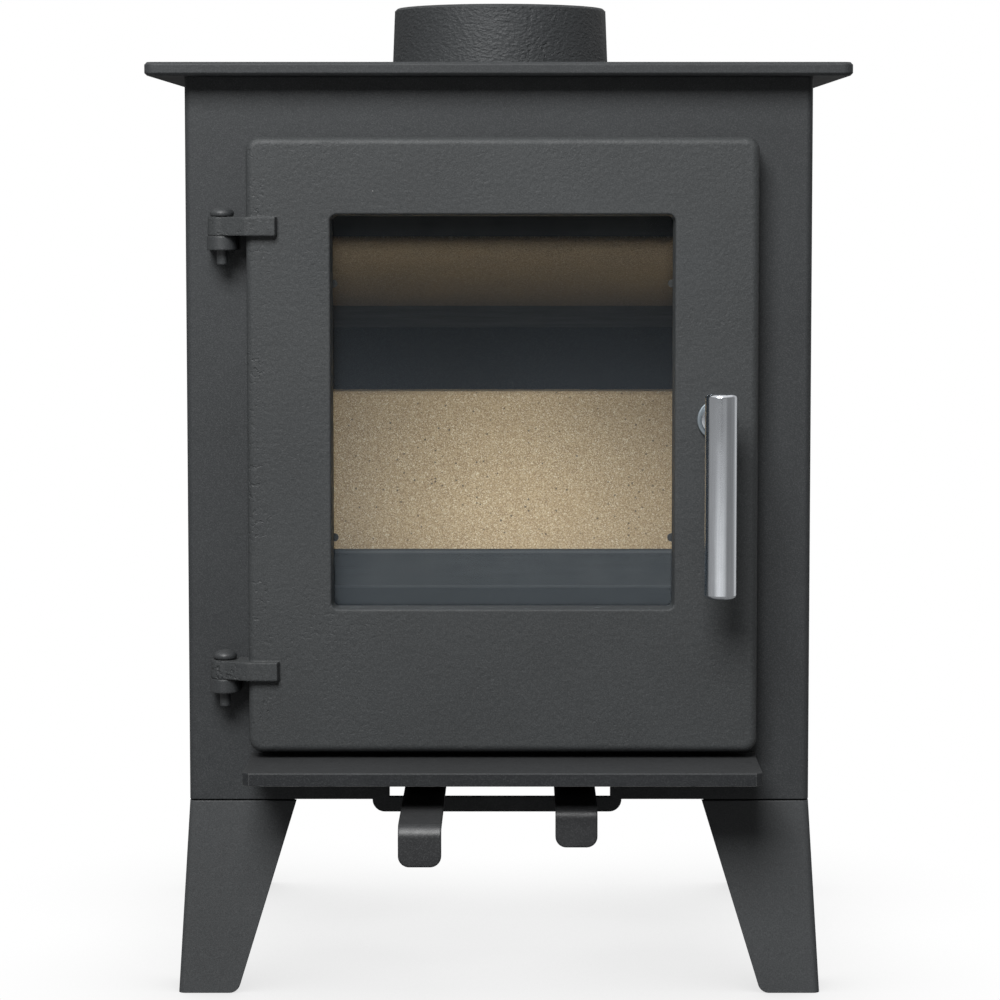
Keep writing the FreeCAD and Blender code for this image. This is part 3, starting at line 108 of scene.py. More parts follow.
def newMaterial(name):
    material = bpy.data.materials.new(name)
    material.use_nodes = True
    tree = material.node_tree
    tree.nodes.clear()
    output = addNode(tree, "OutputMaterial")
    shader = addNode(tree, "BsdfPrincipled")
    tree.links.new(shader.outputs[0], output.inputs["Surface"])
    place = addNode(tree, "TexCoord").outputs["Object"]
    return material, tree, place, shader


def softEdges(tree, radius, samples=6):
    return addNode(tree, "Bevel", {"Radius": radius}, samples=samples).outputs[0]


def showSurface(tree, shading):
    # the material shows this shading instead of the plain shader
    output = next(node for node in tree.nodes if node.type == "OUTPUT_MATERIAL")
    tree.links.new(shading, output.inputs["Surface"])


def edgeMask(tree, rounded, sharp=0.25):
    # 1 on edges, 0 on flat faces: how far the rounded normal turns away from the true one, as a
    # share of sharp
    flat = addNode(tree, "NewGeometry").outputs["Normal"]
    turned = addNode(tree, "VectorMath", {0: rounded, 1: flat}, operation="DOT_PRODUCT")
    return ramp(tree, turned.outputs["Value"], 1.0, 1.0 - sharp)


# Materials

noiseRange = (0.3, 0.7)  # where a noise has nearly all of its values


def paintMaterial(name, look):
    # heat-proof paint: a cloudy charcoal with a salt-and-pepper grain, pits where it covers a
    # casting, a few specks of dust, and bare metal where edges have been rubbed
    material, tree, place, shader = newMaterial(name)
    cloud = noiseAt(tree, place, look["cloudScale"], detail=3.0, roughness=0.6)
    color = mixColors(tree, ramp(tree, cloud, *noiseRange), look["dark"], look["light"])
    grain = noiseAt(tree, place, look["grainScale"], roughness=0.7)
    salt = ramp(tree, grain, *look["saltRange"], 0.0, look["salt"])
    color = mixColors(tree, salt, color, look["pale"])
    pepper = ramp(tree, grain, *look["pepperRange"], 0.0, look["pepper"])
    color = mixColors(tree, pepper, color, look["black"])
    spot, chance = cellsAt(tree, place, look["dustScale"])
    dustAndSheen = mathOf(tree, "MULTIPLY", mathOf(tree, "LESS_THAN", spot, look["dustSize"]),
                  mathOf(tree, "GREATER_THAN", chance, 1.0 - look["dustShare"]))
    color = mixColors(tree, mathOf(tree, "MULTIPLY", dustAndSheen, look["dustStrength"]), color,
                      look["dustAndSheen"])
    facing = addNode(tree, "NewGeometry").outputs["Normal"]
    upward = addNode(tree, "SeparateXYZ", {0: facing}).outputs["Z"]
    settled = ramp(tree, upward, *look["settledSlope"], 0.0, look["settled"])
    color = mixColors(tree, settled, color, look["dustAndSheen"])
    rounded = softEdges(tree, look["edgeRadius"])
    scuff = ramp(tree, noiseAt(tree, place, look["scuffScale"], detail=4.0, roughness=0.7),
                 *look["scuffRange"])
    worn = mathOf(tree, "MULTIPLY", edgeMask(tree, rounded), scuff)
    worn = mathOf(tree, "MULTIPLY", worn, look["wear"])
    color = mixColors(tree, worn, color, look["bareAndHighlight"])
    tree.links.new(color, shader.inputs["Base Color"])
    gloss = ramp(tree, noiseAt(tree, place, look["glossScale"], detail=3.0), *noiseRange,
                 *look["roughness"])
    tree.links.new(gloss, shader.inputs["Roughness"])
    shader.inputs["Specular IOR Level"].default_value = look["shine"]
    wave = noiseAt(tree, place, look["waveScale"], detail=1.0)
    normal = bumped(tree, wave, look["wave"], rounded)
    ripple = noiseAt(tree, stretched(tree, place, *look["rippleStretch"]), look["lumpScale"],
                     detail=3.0)
    normal = bumped(tree, ripple, look["lump"], normal)
    pit = ramp(tree, noiseAt(tree, place, look["pitScale"]), *look["pitRange"])
    patch = ramp(tree, noiseAt(tree, place, look["patchScale"]), *look["patchRange"], 0.0,
                 look["pitShare"])
    side = addNode(tree, "SeparateXYZ", {0: place}).outputs["X"]
    side = ramp(tree, side, look["patchStart"], look["patchEnd"])
    rough = mathOf(tree, "MULTIPLY", side,
                   ramp(tree, noiseAt(tree, place, look["roughScale"]), *look["roughRange"]))
    hole = mathOf(tree, "MULTIPLY", pit, mathOf(tree, "MAXIMUM", patch, rough))
    hole = mathOf(tree, "MULTIPLY", hole, -1.0)
    normal = bumped(tree, hole, look["pit"], normal)
    normal = bumped(tree, grain, look["grain"], normal)
    tree.links.new(normal, shader.inputs["Normal"])
    return material


sheetPaint = {
    "dark": (0.0355, 0.038, 0.040), "light": (0.0445, 0.048, 0.0505), "cloudScale": 7.0,
    "grainScale": 1300.0, "grain": 0.00008,
    "pale": (0.15, 0.155, 0.16), "salt": 0.26, "saltRange": (0.5, 0.72),
    "black": (0.012, 0.013, 0.014), "pepper": 0.26, "pepperRange": (0.5, 0.3),
    "rippleStretch": (1.0, 1.0, 1.0), "lumpScale": 230.0, "lump": 0.00012,
    "waveScale": 10.0, "wave": 0.0005,
    "pitScale": 220.0, "pitRange": (0.45, 0.33), "pitShare": 0.1, "pit": 0.0001,
    "patchScale": 16.0, "patchRange": (0.45, 0.7), "patchStart": 1.0, "patchEnd": 2.0,
    "roughScale": 45.0, "roughRange": (0.42, 0.6),
    "glossScale": 140.0, "roughness": (0.47, 0.58), "shine": 0.32, "edgeRadius": 0.0009,
    "dustAndSheen": (0.42, 0.42, 0.41), "dustScale": 42.0, "dustSize": 0.018, "dustShare": 0.3,
    "dustStrength": 0.5, "settled": 0.03, "settledSlope": (0.7, 1.0),
    "wear": 0.2, "scuffScale": 60.0, "scuffRange": (0.60, 0.68), "bareAndHighlight": (0.20, 0.20, 0.20),
}
castPaint = sheetPaint | {
    "dark": (0.045, 0.048, 0.0495), "light": (0.056, 0.060, 0.062), "lumpScale": 330.0,
    "lump": 0.00028, "grain": 0.00012, "pitScale": 360.0, "pitShare": 0.14, "pit": 0.0009,
    "wear": 0.3, "scuffRange": (0.57, 0.66),
}
doorPaint = castPaint | {"patchStart": -0.13, "patchEnd": -0.17, "edgeRadius": 0.0015}
hingePaint = sheetPaint | {"edgeRadius": 0.0015, "shine": 0.5, "roughness": (0.40, 0.51)}
collarPaint = castPaint | {
    "dark": (0.036, 0.0385, 0.0405), "light": (0.046, 0.0495, 0.052), "lumpScale": 380.0,
    "lump": 0.0009, "rippleStretch": (1.0, 1.0, 1.5), "pitShare": 0.8, "pit": 0.0008,
}
legPaint = sheetPaint | {"dark": (0.058, 0.061, 0.063), "light": (0.068, 0.072, 0.075)}
platePaint = sheetPaint | {"edgeRadius": 0.0012}
lipPaint = sheetPaint | {
    "dark": (0.015, 0.0165, 0.018), "light": (0.022, 0.024, 0.0265), "wear": 1.0,
    "settled": 0.05, "bareAndHighlight": (0.30, 0.30, 0.295), "edgeRadius": 0.0008, "scuffScale": 90.0,
    "scuffRange": (0.36, 0.52),
}
leverPaint = sheetPaint | {
    "dark": (0.019, 0.020, 0.021), "light": (0.026, 0.027, 0.029), "roughness": (0.37, 0.48),
    "shine": 0.5, "edgeRadius": 0.002, "wave": 0.0002,
}


def steelMaterial(name, look):
    # polished or plain steel: fine drawn lines along one axis vary the gloss and the normal,
    # and level folds, given by their height, are drawn lighter as painted highlights
    material, tree, place, shader = newMaterial(name)
    lines = noiseAt(tree, stretched(tree, place, *look["lines"]), look["lineScale"],
                    detail=4.0, roughness=0.6)
    color = mixColors(tree, ramp(tree, lines, *noiseRange), look["dark"], look["light"])
    height = addNode(tree, "SeparateXYZ", {0: place}).outputs["Z"]
    # painted highlight: each listed fold is drawn in a lighter colour, fading with distance from
    # it
    for fold, share in look["highlightFolds"]:
        away = mathOf(tree, "ABSOLUTE", mathOf(tree, "SUBTRACT", height, fold))
        line = ramp(tree, away, *look["highlightReach"], share, 0.0)
        color = mixColors(tree, line, color, look["bareAndHighlight"])
    tree.links.new(color, shader.inputs["Base Color"])
    shader.inputs["Metallic"].default_value = look["metal"]
    rough = ramp(tree, noiseAt(tree, place, look["smearScale"], detail=3.0),
                 *look["smearRange"], *look["roughness"])
    tree.links.new(rough, shader.inputs["Roughness"])
    soft = softEdges(tree, look["edgeRadius"])
    tree.links.new(bumped(tree, lines, look["scratch"], soft), shader.inputs["Normal"])
    return material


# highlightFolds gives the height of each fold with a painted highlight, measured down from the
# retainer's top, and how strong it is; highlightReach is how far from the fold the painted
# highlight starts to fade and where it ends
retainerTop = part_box("fuel_retainer")[1][2]
darkSteel = {
    "dark": (0.060, 0.064, 0.066), "light": (0.098, 0.103, 0.105), "metal": 0.0,
    "lines": (0.05, 1.0, 1.0), "lineScale": 420.0, "scratch": 0.00003,
    "roughness": (0.42, 0.57), "smearScale": 60.0, "smearRange": (0.3, 0.75),
    "edgeRadius": 0.0005, "highlightFolds": (), "highlightReach": (0.0004, 0.0012),
    "bareAndHighlight": (0.14, 0.15, 0.16),
}
foldedSteel = darkSteel | {
    "dark": (0.024, 0.029, 0.031), "light": (0.038, 0.045, 0.048), "scratch": 0.00001,
    "roughness": (0.60, 0.75), "edgeRadius": 0.0008,
    # painted highlights along the retainer's top edge and its knee fold
    "highlightFolds": ((retainerTop - 0.0013, 0.75), (retainerTop - 0.022, 0.5)),
}
# a near-black copy of the folded steel, for the deflector at the top of the firebox
nearBlackSteel = foldedSteel | {
    "dark": (0.008, 0.008, 0.008), "light": (0.016, 0.016, 0.016), "highlightFolds": (),
}
brightSteel = darkSteel | {
    "dark": (0.62, 0.645, 0.68), "light": (0.75, 0.78, 0.815), "metal": 1.0,
    "lines": (1.0, 1.0, 0.04), "scratch": 0.000001, "roughness": (0.15, 0.21),
    "edgeRadius": 0.0003,
}
washerSteel = brightSteel | {
    "dark": (0.27, 0.31, 0.335), "light": (0.35, 0.395, 0.43), "roughness": (0.42, 0.48),
}
zincSteel = darkSteel | {
    "dark": (0.36, 0.36, 0.35), "light": (0.50, 0.49, 0.47), "metal": 1.0,
    "lines": (1.0, 1.0, 1.0), "lineScale": 500.0, "scratch": 0.00002,
    "roughness": (0.35, 0.50), "edgeRadius": 0.0003,
}


def boardMaterial(name, look):
    # pressed vermiculite: tightly packed sandy flakes, some pale and glittering, some dark, with
    # painted shade, in the dark specks' colour, that thickens from one height to another
    material, tree, place, shader = newMaterial(name)
    flake, chance = cellsAt(tree, place, look["flakeScale"])
    color = mixColors(tree, ramp(tree, chance, *look["flakeRange"]), look["brown"], look["sand"])
    pale = mathOf(tree, "GREATER_THAN", chance, 1.0 - look["paleShare"])
    color = mixColors(tree, mathOf(tree, "MULTIPLY", pale, look["paleStrength"]), color,
                      look["pale"])
    speck, speckChance = cellsAt(tree, place, look["speckScale"])
    dark = mathOf(tree, "MULTIPLY", ramp(tree, speck, *look["speckRange"], 1.0, 0.0),
                  mathOf(tree, "GREATER_THAN", speckChance, 1.0 - look["speckShare"]))
    color = mixColors(tree, mathOf(tree, "MULTIPLY", dark, look["speckStrength"]), color,
                      look["speck"])
    cloud = noiseAt(tree, place, look["stainScale"], detail=4.0, roughness=0.6)
    stain = ramp(tree, cloud, *look["stainRange"], 0.0, look["stainShare"])
    color = mixColors(tree, stain, color, look["stain"])
    height = addNode(tree, "SeparateXYZ", {0: place}).outputs["Z"]
    # painted shade: darker below one height, in the dark specks' colour
    paintedShade = ramp(tree, height, look["shadeTop"], look["shadeFoot"], 0.0, look["paintedShade"])
    color = mixColors(tree, paintedShade, color, look["speck"])
    tree.links.new(color, shader.inputs["Base Color"])
    shader.inputs["Roughness"].default_value = look["roughness"]
    shader.inputs["Specular IOR Level"].default_value = look["shine"]
    lumps = noiseAt(tree, place, look["lumpScale"], detail=4.0, roughness=0.7)
    normal = bumped(tree, lumps, look["lump"], softEdges(tree, look["edgeRadius"]))
    normal = bumped(tree, flake, look["relief"], normal)
    tree.links.new(normal, shader.inputs["Normal"])
    return material


fireBoard = {
    "brown": (0.32, 0.225, 0.122), "sand": (0.61, 0.485, 0.30), "flakeScale": 2000.0,
    "flakeRange": (0.1, 0.9), "pale": (0.84, 0.76, 0.59), "paleShare": 0.1,
    "paleStrength": 0.7, "speck": (0.04, 0.034, 0.03), "speckScale": 420.0,
    "speckRange": (0.22, 0.36), "speckShare": 0.06, "speckStrength": 0.75,
    "stain": (0.50, 0.37, 0.20), "stainScale": 16.0, "stainRange": (0.4, 0.8),
    "stainShare": 0.3, "shadeTop": 1.0, "shadeFoot": 0.9, "paintedShade": 0.0,
    "roughness": 0.85, "shine": 0.25, "lumpScale": 90.0, "lump": 0.0006,
    "edgeRadius": 0.0012, "relief": 0.0003,
}
# the baffle's board: a darker copy, painted shade for its dim light, and darker still towards its
# lower, rear edge
shadedBoard = fireBoard | {
    "brown": (0.20, 0.145, 0.088), "sand": (0.42, 0.34, 0.23), "pale": (0.60, 0.53, 0.42),
    "shadeTop": 0.45, "shadeFoot": 0.402, "paintedShade": 0.88,
}


def ironMaterial(name, look):
    # bare grey iron as cast, a little rusty in patches
    material, tree, place, shader = newMaterial(name)
    cloud = noiseAt(tree, place, look["cloudScale"], detail=5.0, roughness=0.65)
    color = mixColors(tree, ramp(tree, cloud, *look["cloudRange"]), look["dark"], look["light"])
    patches = noiseAt(tree, place, look["rustScale"], detail=5.0, roughness=0.7)
    rust = ramp(tree, patches, *look["rustRange"], 0.0, look["rustShare"])
    color = mixColors(tree, rust, color, look["rust"])
    tree.links.new(color, shader.inputs["Base Color"])
    shader.inputs["Roughness"].default_value = look["roughness"]
    shader.inputs["Specular IOR Level"].default_value = look["shine"]
    skin = noiseAt(tree, place, look["skinScale"], detail=4.0, roughness=0.6)
    normal = bumped(tree, skin, look["skin"], softEdges(tree, look["edgeRadius"]))
    tree.links.new(normal, shader.inputs["Normal"])
    return material


grateIron = {
    "dark": (0.045, 0.044, 0.043), "light": (0.085, 0.082, 0.078), "cloudScale": 45.0,
    "cloudRange": (0.35, 0.7), "rust": (0.14, 0.07, 0.035), "rustScale": 22.0,
    "rustRange": (0.55, 0.75), "rustShare": 0.4, "roughness": 0.7, "shine": 0.35,
    "skinScale": 380.0, "skin": 0.0003, "edgeRadius": 0.0014,
}


def ropeMaterial(name, look):
    # woven glass yarn: dark strands with pale single threads and a dull sheen
    material, tree, place, shader = newMaterial(name)
    yarn = noiseAt(tree, place, look["yarnScale"], detail=3.0, roughness=0.6)
    color = mixColors(tree, ramp(tree, yarn, *look["yarnRange"]), look["dark"], look["light"])
    tree.links.new(color, shader.inputs["Base Color"])
    shader.inputs["Roughness"].default_value = look["roughness"]
    shader.inputs["Sheen Weight"].default_value = look["sheen"]
    tree.links.new(bumped(tree, yarn, look["relief"]), shader.inputs["Normal"])
    return material


glassRope = {
    "dark": (0.035, 0.035, 0.037), "light": (0.13, 0.13, 0.128), "yarnScale": 900.0,
    "yarnRange": (0.35, 0.7), "roughness": 0.9, "sheen": 0.3, "relief": 0.0003,
}


def glassMaterial(name, look):
    # a clear pane: mostly see-through, a mirror at a slant, with a faint bluish film, partly
    # wiped dust and partly painted reflection, that is thicker towards the foot
    material, tree, place, shader = newMaterial(name)
    tree.nodes.remove(shader)
    clear = addNode(tree, "BsdfTransparent", {"Color": (*look["tint"], 1)}).outputs[0]
    mirror = addNode(tree, "BsdfGlossy", {"Color": (*look["mirror"], 1),
                                          "Roughness": look["roughness"]}).outputs[0]
    slant = addNode(tree, "Fresnel", {"IOR": look["ior"]}).outputs[0]
    pane = addNode(tree, "MixShader", {0: slant, 1: clear, 2: mirror}).outputs[0]
    # the film: a bluish diffuse layer, partly dust and partly painted reflection
    filmAndReflection = addNode(tree, "BsdfDiffuse", {"Color": (*look["dustAndSheen"], 1)}).outputs[0]
    wiped = stretched(tree, place, *look["wipeStretch"])
    streak = ramp(tree, noiseAt(tree, wiped, look["wipeScale"]), *noiseRange,
                  look["wipedShare"], 1.0)
    height = addNode(tree, "SeparateXYZ", {0: place}).outputs["Z"]
    settled = ramp(tree, height, look["filmFadeTop"], look["filmFadeFoot"], look["filmTop"], look["film"])
    share = mathOf(tree, "MULTIPLY", streak, settled)
    showSurface(tree, addNode(tree, "MixShader", {0: share, 1: pane, 2: filmAndReflection}).outputs[0])
    return material


# dustAndSheen is the film's bluish colour: partly dust, partly painted reflection
doorPane = {
    "tint": (0.94, 0.94, 0.93), "mirror": (0.36, 0.41, 0.45), "roughness": 0.02, "ior": 1.45,
    "dustAndSheen": (0.58, 0.70, 0.84), "film": 0.031, "filmTop": 0.004, "filmFadeTop": 0.44,
    "filmFadeFoot": 0.35, "wipeStretch": (1.0, 1.0, 0.35), "wipeScale": 9.0, "wipedShare": 0.75,
}


def dress(material, *names):
    # gives CAD nodes their finish
    for name in names:
        slots = nodes[name].data.materials
        slots.clear()
        slots.append(material)


paint = paintMaterial("sheetPaint", sheetPaint)
hinge = paintMaterial("hingePaint", hingePaint)
steel = steelMaterial("brightSteel", brightSteel)
matteSteel = steelMaterial("washerSteel", washerSteel)
screwSteel = steelMaterial("zincSteel", zincSteel)
rope = ropeMaterial("glassRope", glassRope)
dress(paint, "body_wrap", "back_panel", "base_plate", "leg_pads", "outlet_bridge",
      "latch_catch")
dress(hinge, "hinge_lug_upper", "hinge_lug_lower", "hinge_pin_upper", "hinge_pin_lower")
dress(paintMaterial("platePaint", platePaint), "top_plate")
dress(paintMaterial("legPaint", legPaint), "leg_front_left", "leg_front_right",
      "leg_rear_left", "leg_rear_right")
dress(paintMaterial("castPaint", castPaint), "outlet_cover")
dress(paintMaterial("doorPaint", doorPaint), "door_frame")
dress(paintMaterial("collarPaint", collarPaint), "flue_collar")
dress(paintMaterial("lipPaint", lipPaint), "front_shelf")
dress(paintMaterial("leverPaint", leverPaint), "airwash_slide", "primary_air_slide")
dress(steel, "handle_bar", "handle_stem")
dress(matteSteel, "handle_washer")
dress(screwSteel, "collar_screws", "outlet_bolt", "leg_bolts", "clip_screws", "latch_nut")
dress(steelMaterial("darkSteel", darkSteel), "glass_clips", "latch_cam", "airwash_guide",
      "primary_air_guide", "airwash_floor_duct", "airwash_riser", "ash_pan",
      "ash_pan_runner_left", "ash_pan_runner_right", "baffle_ledge", "grate_frame")
dress(steelMaterial("foldedSteel", foldedSteel), "fuel_retainer")
dress(steelMaterial("nearBlackSteel", nearBlackSteel), "airwash_deflector")
dress(ironMaterial("grateIron", grateIron), "grate")
dress(boardMaterial("fireBoard", fireBoard), "rear_brick", "side_brick_left",
      "side_brick_right")
dress(boardMaterial("shadedBoard", shadedBoard), "baffle_board")
dress(rope, "door_rope_seal", "glass_gasket")
dress(glassMaterial("doorPane", doorPane), "door_glass")
print("finishes given to the frame's nodes")


# Surfaces computed with numpy

fullTurn = 2 * math.pi
mergeReach = 1e-6  # points this near become one
arcRoom = 0.49     # the most of a side that the arc at one of its ends takes up


def surface(name, points, material, closedRows=False):
    # a quad grid over points[row, column], whose columns always close on themselves
    rows, columns = points.shape[:2]
    index = np.arange(rows * columns).reshape(rows, columns)
    index = np.hstack([index, index[:, :1]])
    if closedRows:
        index = np.vstack([index, index[:1]])
    faces = np.stack([index[:-1, :-1], index[:-1, 1:], index[1:, 1:], index[1:, :-1]], axis=-1)
    mesh = bpy.data.meshes.new(name)
    mesh.from_pydata(points.reshape(-1, 3).tolist(), [], faces.reshape(-1, 4).tolist())
    shape = bmesh.new()
    shape.from_mesh(mesh)
    bmesh.ops.remove_doubles(shape, verts=shape.verts, dist=mergeReach)
    bmesh.ops.recalc_face_normals(shape, faces=shape.faces)
    shape.to_mesh(mesh)
    shape.free()
    mesh.shade_smooth()
    mesh.materials.append(material)
    piece = bpy.data.objects.new(name, mesh)
    bpy.context.scene.collection.objects.link(piece)
    return piece


def settle(piece, body, slot, *stoodFor):
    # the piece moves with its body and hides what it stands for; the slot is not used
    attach(piece, body)
    if stoodFor:
        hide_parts(*stoodFor)


def boxOf(node):
    # the low corner, high corner and middle of a node's box in the frame
    low, high = (np.array(corner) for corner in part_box(node))
    return low, high, (low + high) / 2


def softened(corners, radius, steps=5):
    # the broken line through corners, with an arc of this radius at each inner corner: points
    # spread evenly along the arc's chord and pushed out from its centre to the radius
    corners = np.array(corners, float)
    path = [corners[:1]]
    for before, corner, after in zip(corners, corners[1:], corners[2:]):
        back = before - corner
        ahead = after - corner
        room = arcRoom * min(np.linalg.norm(back), np.linalg.norm(ahead))
        back /= np.linalg.norm(back)
        ahead /= np.linalg.norm(ahead)
        half = math.acos(np.clip(back @ ahead, -1, 1)) / 2
        cut = min(radius / math.tan(half), room)
        middle = (back + ahead) / np.linalg.norm(back + ahead)
        centre = corner + middle * cut / math.cos(half)
        share = np.linspace(0, 1, steps + 1)[:, None]
        arc = (corner + back * cut - centre) * (1 - share)
        arc += (corner + ahead * cut - centre) * share
        arc *= cut * math.tan(half) / np.linalg.norm(arc, axis=1, keepdims=True)
        path.append(centre + arc)
    path.append(corners[-1:])
    return np.vstack(path)


def anglesOf(columns):
    # equal steps round a full turn
    return np.linspace(0, fullTurn, columns, endpoint=False)


def hexRadius(across, columns):
    # distance from the middle of a hexagon to its side, in every direction: half its width
    # over the cosine of the angle to the middle of the nearest side
    return across / 2 / np.cos(anglesOf(columns) % (fullTurn / 6) - fullTurn / 12)


def turned(radius, along, axis, centre):
    # rings about a line through centre: the centre plus radius[row, column] times the cosine
    # and the sine of the column's angle, each row at its place on the axis
    angle = anglesOf(radius.shape[1])
    first = centre[0] + radius * np.cos(angle)
    second = centre[1] + radius * np.sin(angle)
    level = np.broadcast_to(np.reshape(along, (-1, 1)), radius.shape)
    order = (first, level, second) if axis == "Y" else (first, second, level)
    return np.stack(order, axis=-1)


def lathed(profile, axis, centre, columns=96):
    # a round form from (radius, place along the axis) pairs
    return turned(np.repeat(profile[:, :1], columns, axis=1), profile[:, 1], axis, centre)


# Handle: a polished bar with rounded ends, on a stem whose other end is square, then threaded

handleLook = {
    "barEdge": 0.0025, "barEdgeSteps": 14, "edge": 0.0005, "stem": 0.0065, "ring": 0.0095,
    "ringThickness": 0.002, "spindle": 0.006, "square": 0.008, "squareCorner": 0.0052,
    "thread": 0.004, "threadPitch": 0.00125, "threadDepth": 0.0006, "threadStep": 0.1,
    "columns": 96,
}


def makeBar(look):
    # a cylinder whose two rims are quarter rounds
    low, high, middle = boxOf("handle_bar")
    radius = (high[0] - low[0]) / 2
    corners = [(0, low[2]), (radius, low[2]), (radius, high[2]), (0, high[2])]
    profile = softened(corners, look["barEdge"], look["barEdgeSteps"])
    bar = surface("handleBar", lathed(profile, "Z", middle[:2], look["columns"]), steel)
    settle(bar, "door_handle", "bright_steel", "handle_bar")


def makeStem(look):
    # a turned stem, then a square whose radius is half its side over the larger of the angle's
    # sine and cosine, then a thread whose ridge climbs by one pitch in each turn
    low, high, middle = boxOf("handle_stem")
    washerLow = boxOf("handle_washer")[0]
    camLow, camHigh, _ = boxOf("latch_cam")
    ringFront = washerLow[1] - look["ringThickness"]
    profile = softened([
        (0, low[1]), (look["stem"], low[1]), (look["stem"], ringFront),
        (look["ring"], ringFront), (look["ring"], washerLow[1]),
        (look["spindle"], washerLow[1]), (look["spindle"], camLow[1]),
        (look["square"] / 2, camLow[1])], look["edge"])
    smooth = np.repeat(profile[:, :1], look["columns"], axis=1)
    angle = anglesOf(look["columns"])
    square = look["square"] / 2 / np.maximum(abs(np.cos(angle)), abs(np.sin(angle)))
    square = np.minimum(square, look["squareCorner"])
    turns = np.arange(0, (high[1] - camHigh[1]) / look["threadPitch"], look["threadStep"])
    phase = (turns[:, None] - angle / fullTurn) % 1
    thread = look["thread"] - look["threadDepth"] * abs(2 * phase - 1)
    radii = np.vstack([smooth, square, square, thread, thread[-1:] * 0])
    places = np.concatenate([profile[:, 1], [camLow[1], camHigh[1]],
                             camHigh[1] + turns * look["threadPitch"], high[1:2]])
    stem = surface("handleStem", turned(radii, places, "Y", middle[[0, 2]]), steel)
    settle(stem, "door_handle", "bright_steel", "handle_stem")


def makeWasher(look):
    # a flat ring round the stem, its rims rounded
    low, high, _ = boxOf("handle_washer")
    middle = boxOf("handle_stem")[2]
    rim = (high[0] - low[0]) / 2
    profile = softened([(look["stem"], low[1]), (rim, low[1]), (rim, high[1]),
                        (look["stem"], high[1])], look["edge"])
    ring = lathed(profile, "Y", middle[[0, 2]])
    washer = surface("handleWasher", ring, matteSteel, closedRows=True)
    settle(washer, "door_handle", "bright_steel", "handle_washer")


makeBar(handleLook)
makeStem(handleLook)
makeWasher(handleLook)
print("handle made")


# Hinge pins, domed like rivets and a little undercut above the arm

pinLook = {"shank": 0.00325, "head": 0.0056, "widest": 0.0019, "seatShare": 0.86, "rows": 24,
           "tailEdge": 0.0008}


def makeHingePin(name, stoodFor, look):
    # a plain shank, then a dome whose radius follows the cosine of the angle up from its
    # widest ring, and below that ring draws in to a share of it at the seat
    low, high, middle = boxOf(stoodFor)
    headRadius = (high[0] - low[0]) / 2
    seat = high[2] - look["head"]
    up = np.linspace(-math.pi / 2, math.pi / 2, look["rows"])
    rise = np.where(up < 0, look["widest"], look["head"] - look["widest"]) * np.sin(up)
    share = np.where(up < 0, look["seatShare"] + (1 - look["seatShare"]) * np.cos(up), np.cos(up))
    dome = np.stack([headRadius * share, seat + look["widest"] + rise], axis=-1)
    tail = softened([(0, low[2]), (look["shank"], low[2]), (look["shank"], seat)],
                    look["tailEdge"])
    pin = surface(name, lathed(np.vstack([tail, dome]), "Z", middle[:2]), hinge)
    settle(pin, "stove", "body_paint", stoodFor)


makeHingePin("hingePinUpper", "hinge_pin_upper", pinLook)
makeHingePin("hingePinLower", "hinge_pin_lower", pinLook)
print("hinge pins made")


# Hexagon heads with chamfered corners, the latch nut, and countersunk screws with a socket

screwLook = {
    "columns": 96, "chamfer": 0.06, "cornerReach": 2.6, "coneRings": 7, "slope": 0.58,
    "boltAcross": 0.013, "boltHead": 0.0053, "boltShank": 0.004, "clipAcross": 0.008,
    "clipHead": 0.0026, "clipShank": 0.0025, "sunkShank": 0.003, "sunkHead": 0.006,
    "socket": 0.004, "socketDepth": 0.0022, "nutBore": 0.004,
}


def chamfered(across, start, end, look):
    # rings of a hexagon from start to end, with its corners turned down by a cone at the end:
    # in each direction the smaller of the hexagon's reach and the cone's radius
    flat = hexRadius(across, look["columns"])[None, :]
    share = np.linspace(1 + look["chamfer"] * look["cornerReach"], 1 - look["chamfer"],
                        look["coneRings"])
    cone = across / 2 * share[:, None]
    drop = (cone - cone[-1]) * look["slope"] * math.copysign(1, end - start)
    return np.minimum(flat, cone), end - drop[:, 0]


def screwRings(across, seat, face, shank, tip, look):
    # a hexagon head on a plain shank, closed at both ends
    head, places = chamfered(across, seat, face, look)
    flat = hexRadius(across, look["columns"])[None, :]
    plain = np.full_like(flat, shank)
    radii = np.vstack([plain * 0, plain, plain, flat, head, plain * 0])
    return radii, np.concatenate([[tip, tip, seat, seat], places, [face]])


def makeScrews(name, stoodFor, axis, rings, reach, body):
    # four like screws, one at each corner of the box of the node that they stand for, which
    # the first of them hides
    low, high, _ = boxOf(stoodFor)
    across = [0, 2] if axis == "Y" else [0, 1]
    inset = np.array(reach)
    for number in range(4):
        pick = np.array([number % 2, number // 2], bool)
        centre = np.where(pick, high[across] - inset, low[across] + inset)
        screw = surface(f"{name}{number}", turned(*rings, axis, centre), screwSteel)
        replaced = [stoodFor] if number == 0 else []
        settle(screw, body, "plain_steel", *replaced)


def makeLegBolts(look):
    # heads at the foot, shanks up
    low, high, _ = boxOf("leg_bolts")
    rings = screwRings(look["boltAcross"], low[2] + look["boltHead"], low[2],
                       look["boltShank"], high[2], look)
    reach = (look["boltAcross"] / math.sqrt(3), look["boltAcross"] / 2)
    makeScrews("legBolt", "leg_bolts", "Z", rings, reach, "stove")


def makeOutletBolt(look):
    # head to the rear
    low, high, middle = boxOf("outlet_bolt")
    rings = screwRings(look["boltAcross"], high[1] - look["boltHead"], high[1],
                       look["boltShank"], low[1], look)
    bolt = surface("outletBolt", turned(*rings, "Y", middle[[0, 2]]), screwSteel)
    settle(bolt, "stove", "plain_steel", "outlet_bolt")


